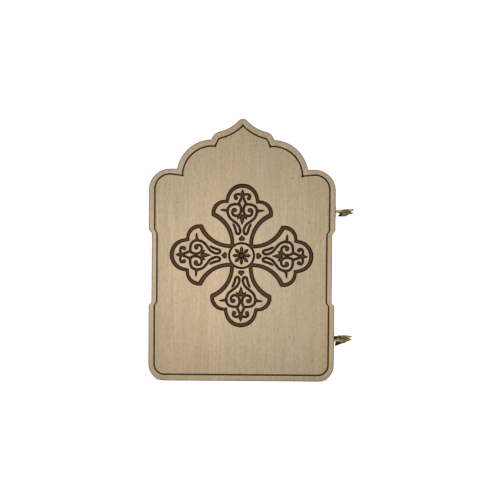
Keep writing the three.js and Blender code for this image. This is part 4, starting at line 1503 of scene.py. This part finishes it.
class DIPTYCH_OT_stage(bpy.types.Operator):
    """Add the floor, the lights and the camera"""

    bl_idname = "diptych.stage"
    bl_label = "Stage"

    def execute(self, context):
        scene = context.scene
        self.add_camera(scene)
        self.add_floor(scene)
        self.add_spot(scene)
        self.add_world(scene)
        scene.view_settings.view_transform = "Standard"
        return {"FINISHED"}

    def add_camera(self, scene):
        data = bpy.data.cameras.new("Camera")
        data.sensor_width = SENSOR_WIDTH
        data.lens = SENSOR_WIDTH * CAMERA_DISTANCE / PHOTO_WIDTH
        camera = bpy.data.objects.new("Camera", data)
        scene.collection.objects.link(camera)
        target = Matrix.Translation(Vector((CAMERA_X, FRONT_LOW.y, CAMERA_HEIGHT)) * MM)
        turned_down = Matrix.Rotation(math.radians(90) - CAMERA_PITCH, 4, "X")
        away = Matrix.Translation((0, 0, CAMERA_DISTANCE * MM))
        camera.matrix_world = target @ turned_down @ Matrix.Rotation(CAMERA_ROLL, 4, "Z") @ away
        scene.camera = camera

    def add_floor(self, scene):
        mesh = bpy.data.meshes.new("Floor")
        bm = bmesh.new()
        bmesh.ops.create_circle(bm, cap_ends=True, radius=FLOOR_RADIUS, segments=FLOOR_SIDES)
        bm.to_mesh(mesh)
        bm.free()
        floor = bpy.data.objects.new("Floor", mesh)
        scene.collection.objects.link(floor)
        material, tree, shader = new_material("Floor")
        speckle = tree.ramp(tree.noise(tree.place(), FLOOR_GRAIN), *NOISE_MIDDLE)
        pale = scene.diptych_colours.floor
        tree.feed(shader["Base Color"], tree.mix(speckle, pale, [value * FLOOR_SPECKLE for value in pale]))
        shader["Roughness"].default_value = FLOOR_ROUGHNESS
        seen = tree.add("ShaderNodeLightPath").outputs["Is Camera Ray"]
        tree.feed(shader["Emission Color"], tree.mix(seen, (0, 0, 0), (1, 1, 1)))
        shader["Emission Strength"].default_value = FLOOR_GLOW
        mesh.materials.append(material)

    def add_spot(self, scene):
        data = bpy.data.lights.new("Key", "SPOT")
        data.energy = KEY_POWER
        data.spot_size = KEY_CONE
        data.spot_blend = 1
        data.shadow_soft_size = KEY_RADIUS
        light = bpy.data.objects.new("Key", data)
        scene.collection.objects.link(light)
        light.location = KEY_PLACE
        light.rotation_euler = (KEY_AIM - light.location).to_track_quat("-Z", "Y").to_euler()

    def add_world(self, scene):
        world = bpy.data.worlds.new("Studio")
        world.use_nodes = True
        tree = Tree(world.node_tree)
        lit = world.node_tree.nodes["Background"]
        towards = tree.add(
            "ShaderNodeSeparateXYZ", {0: tree.add("ShaderNodeTexCoord").outputs["Generated"]}).outputs
        sky = tree.ramp(towards["Z"], *ZENITH_EDGES, HORIZON_LIGHT, ZENITH_LIGHT)
        behind_camera = tree.ramp(towards["Y"], 0, BEHIND_CAMERA_Y)
        low = tree.ramp(towards["Z"], *reversed(ZENITH_EDGES))
        shade = tree.math("MULTIPLY", behind_camera, low)
        tree.feed(lit.inputs["Strength"], tree.math("MULTIPLY", sky, tree.math("SUBTRACT", 1, shade)))
        lit.inputs["Color"].default_value = (1, 1, 1, 1)
        seen = tree.add("ShaderNodeBackground", {"Color": (1, 1, 1), "Strength": BACKDROP_WHITE})
        path = tree.add("ShaderNodeLightPath")
        both = tree.add("ShaderNodeMixShader", {
            0: path.outputs["Is Camera Ray"], 1: lit.outputs[0], 2: seen.outputs[0]})
        tree.links.new(both.outputs[0], world.node_tree.nodes["World Output"].inputs["Surface"])
        scene.world = world


class DIPTYCH_PT_panel(bpy.types.Panel):
    """Lists the pieces and the sizes"""

    bl_idname = "DIPTYCH_PT_panel"
    bl_label = "Folding Diptych"
    bl_space_type = "VIEW_3D"
    bl_region_type = "UI"
    bl_category = "Diptych"

    def draw(self, context):
        for operator in OPERATORS:
            self.layout.operator(operator.bl_idname)
        for settings in (context.scene.diptych_sizes, context.scene.diptych_colours):
            for name in settings.__annotations__:
                self.layout.prop(settings, name)


OPERATORS = (DIPTYCH_OT_stage, DIPTYCH_OT_leaves, DIPTYCH_OT_hinges, DIPTYCH_OT_clasps)
CLASSES = (DiptychSizes, DiptychColours, *OPERATORS, DIPTYCH_PT_panel)


def register():
    for cls in CLASSES:
        bpy.utils.register_class(cls)
    bpy.types.Scene.diptych_sizes = PointerProperty(type=DiptychSizes)
    bpy.types.Scene.diptych_colours = PointerProperty(type=DiptychColours)


def unregister():
    del bpy.types.Scene.diptych_colours
    del bpy.types.Scene.diptych_sizes
    for cls in reversed(CLASSES):
        bpy.utils.unregister_class(cls)


def main():
    register()
    bpy.ops.diptych.stage()
    bpy.ops.diptych.leaves()
    bpy.ops.diptych.hinges()
    bpy.ops.diptych.clasps()


if __name__ == "__main__":
    main()
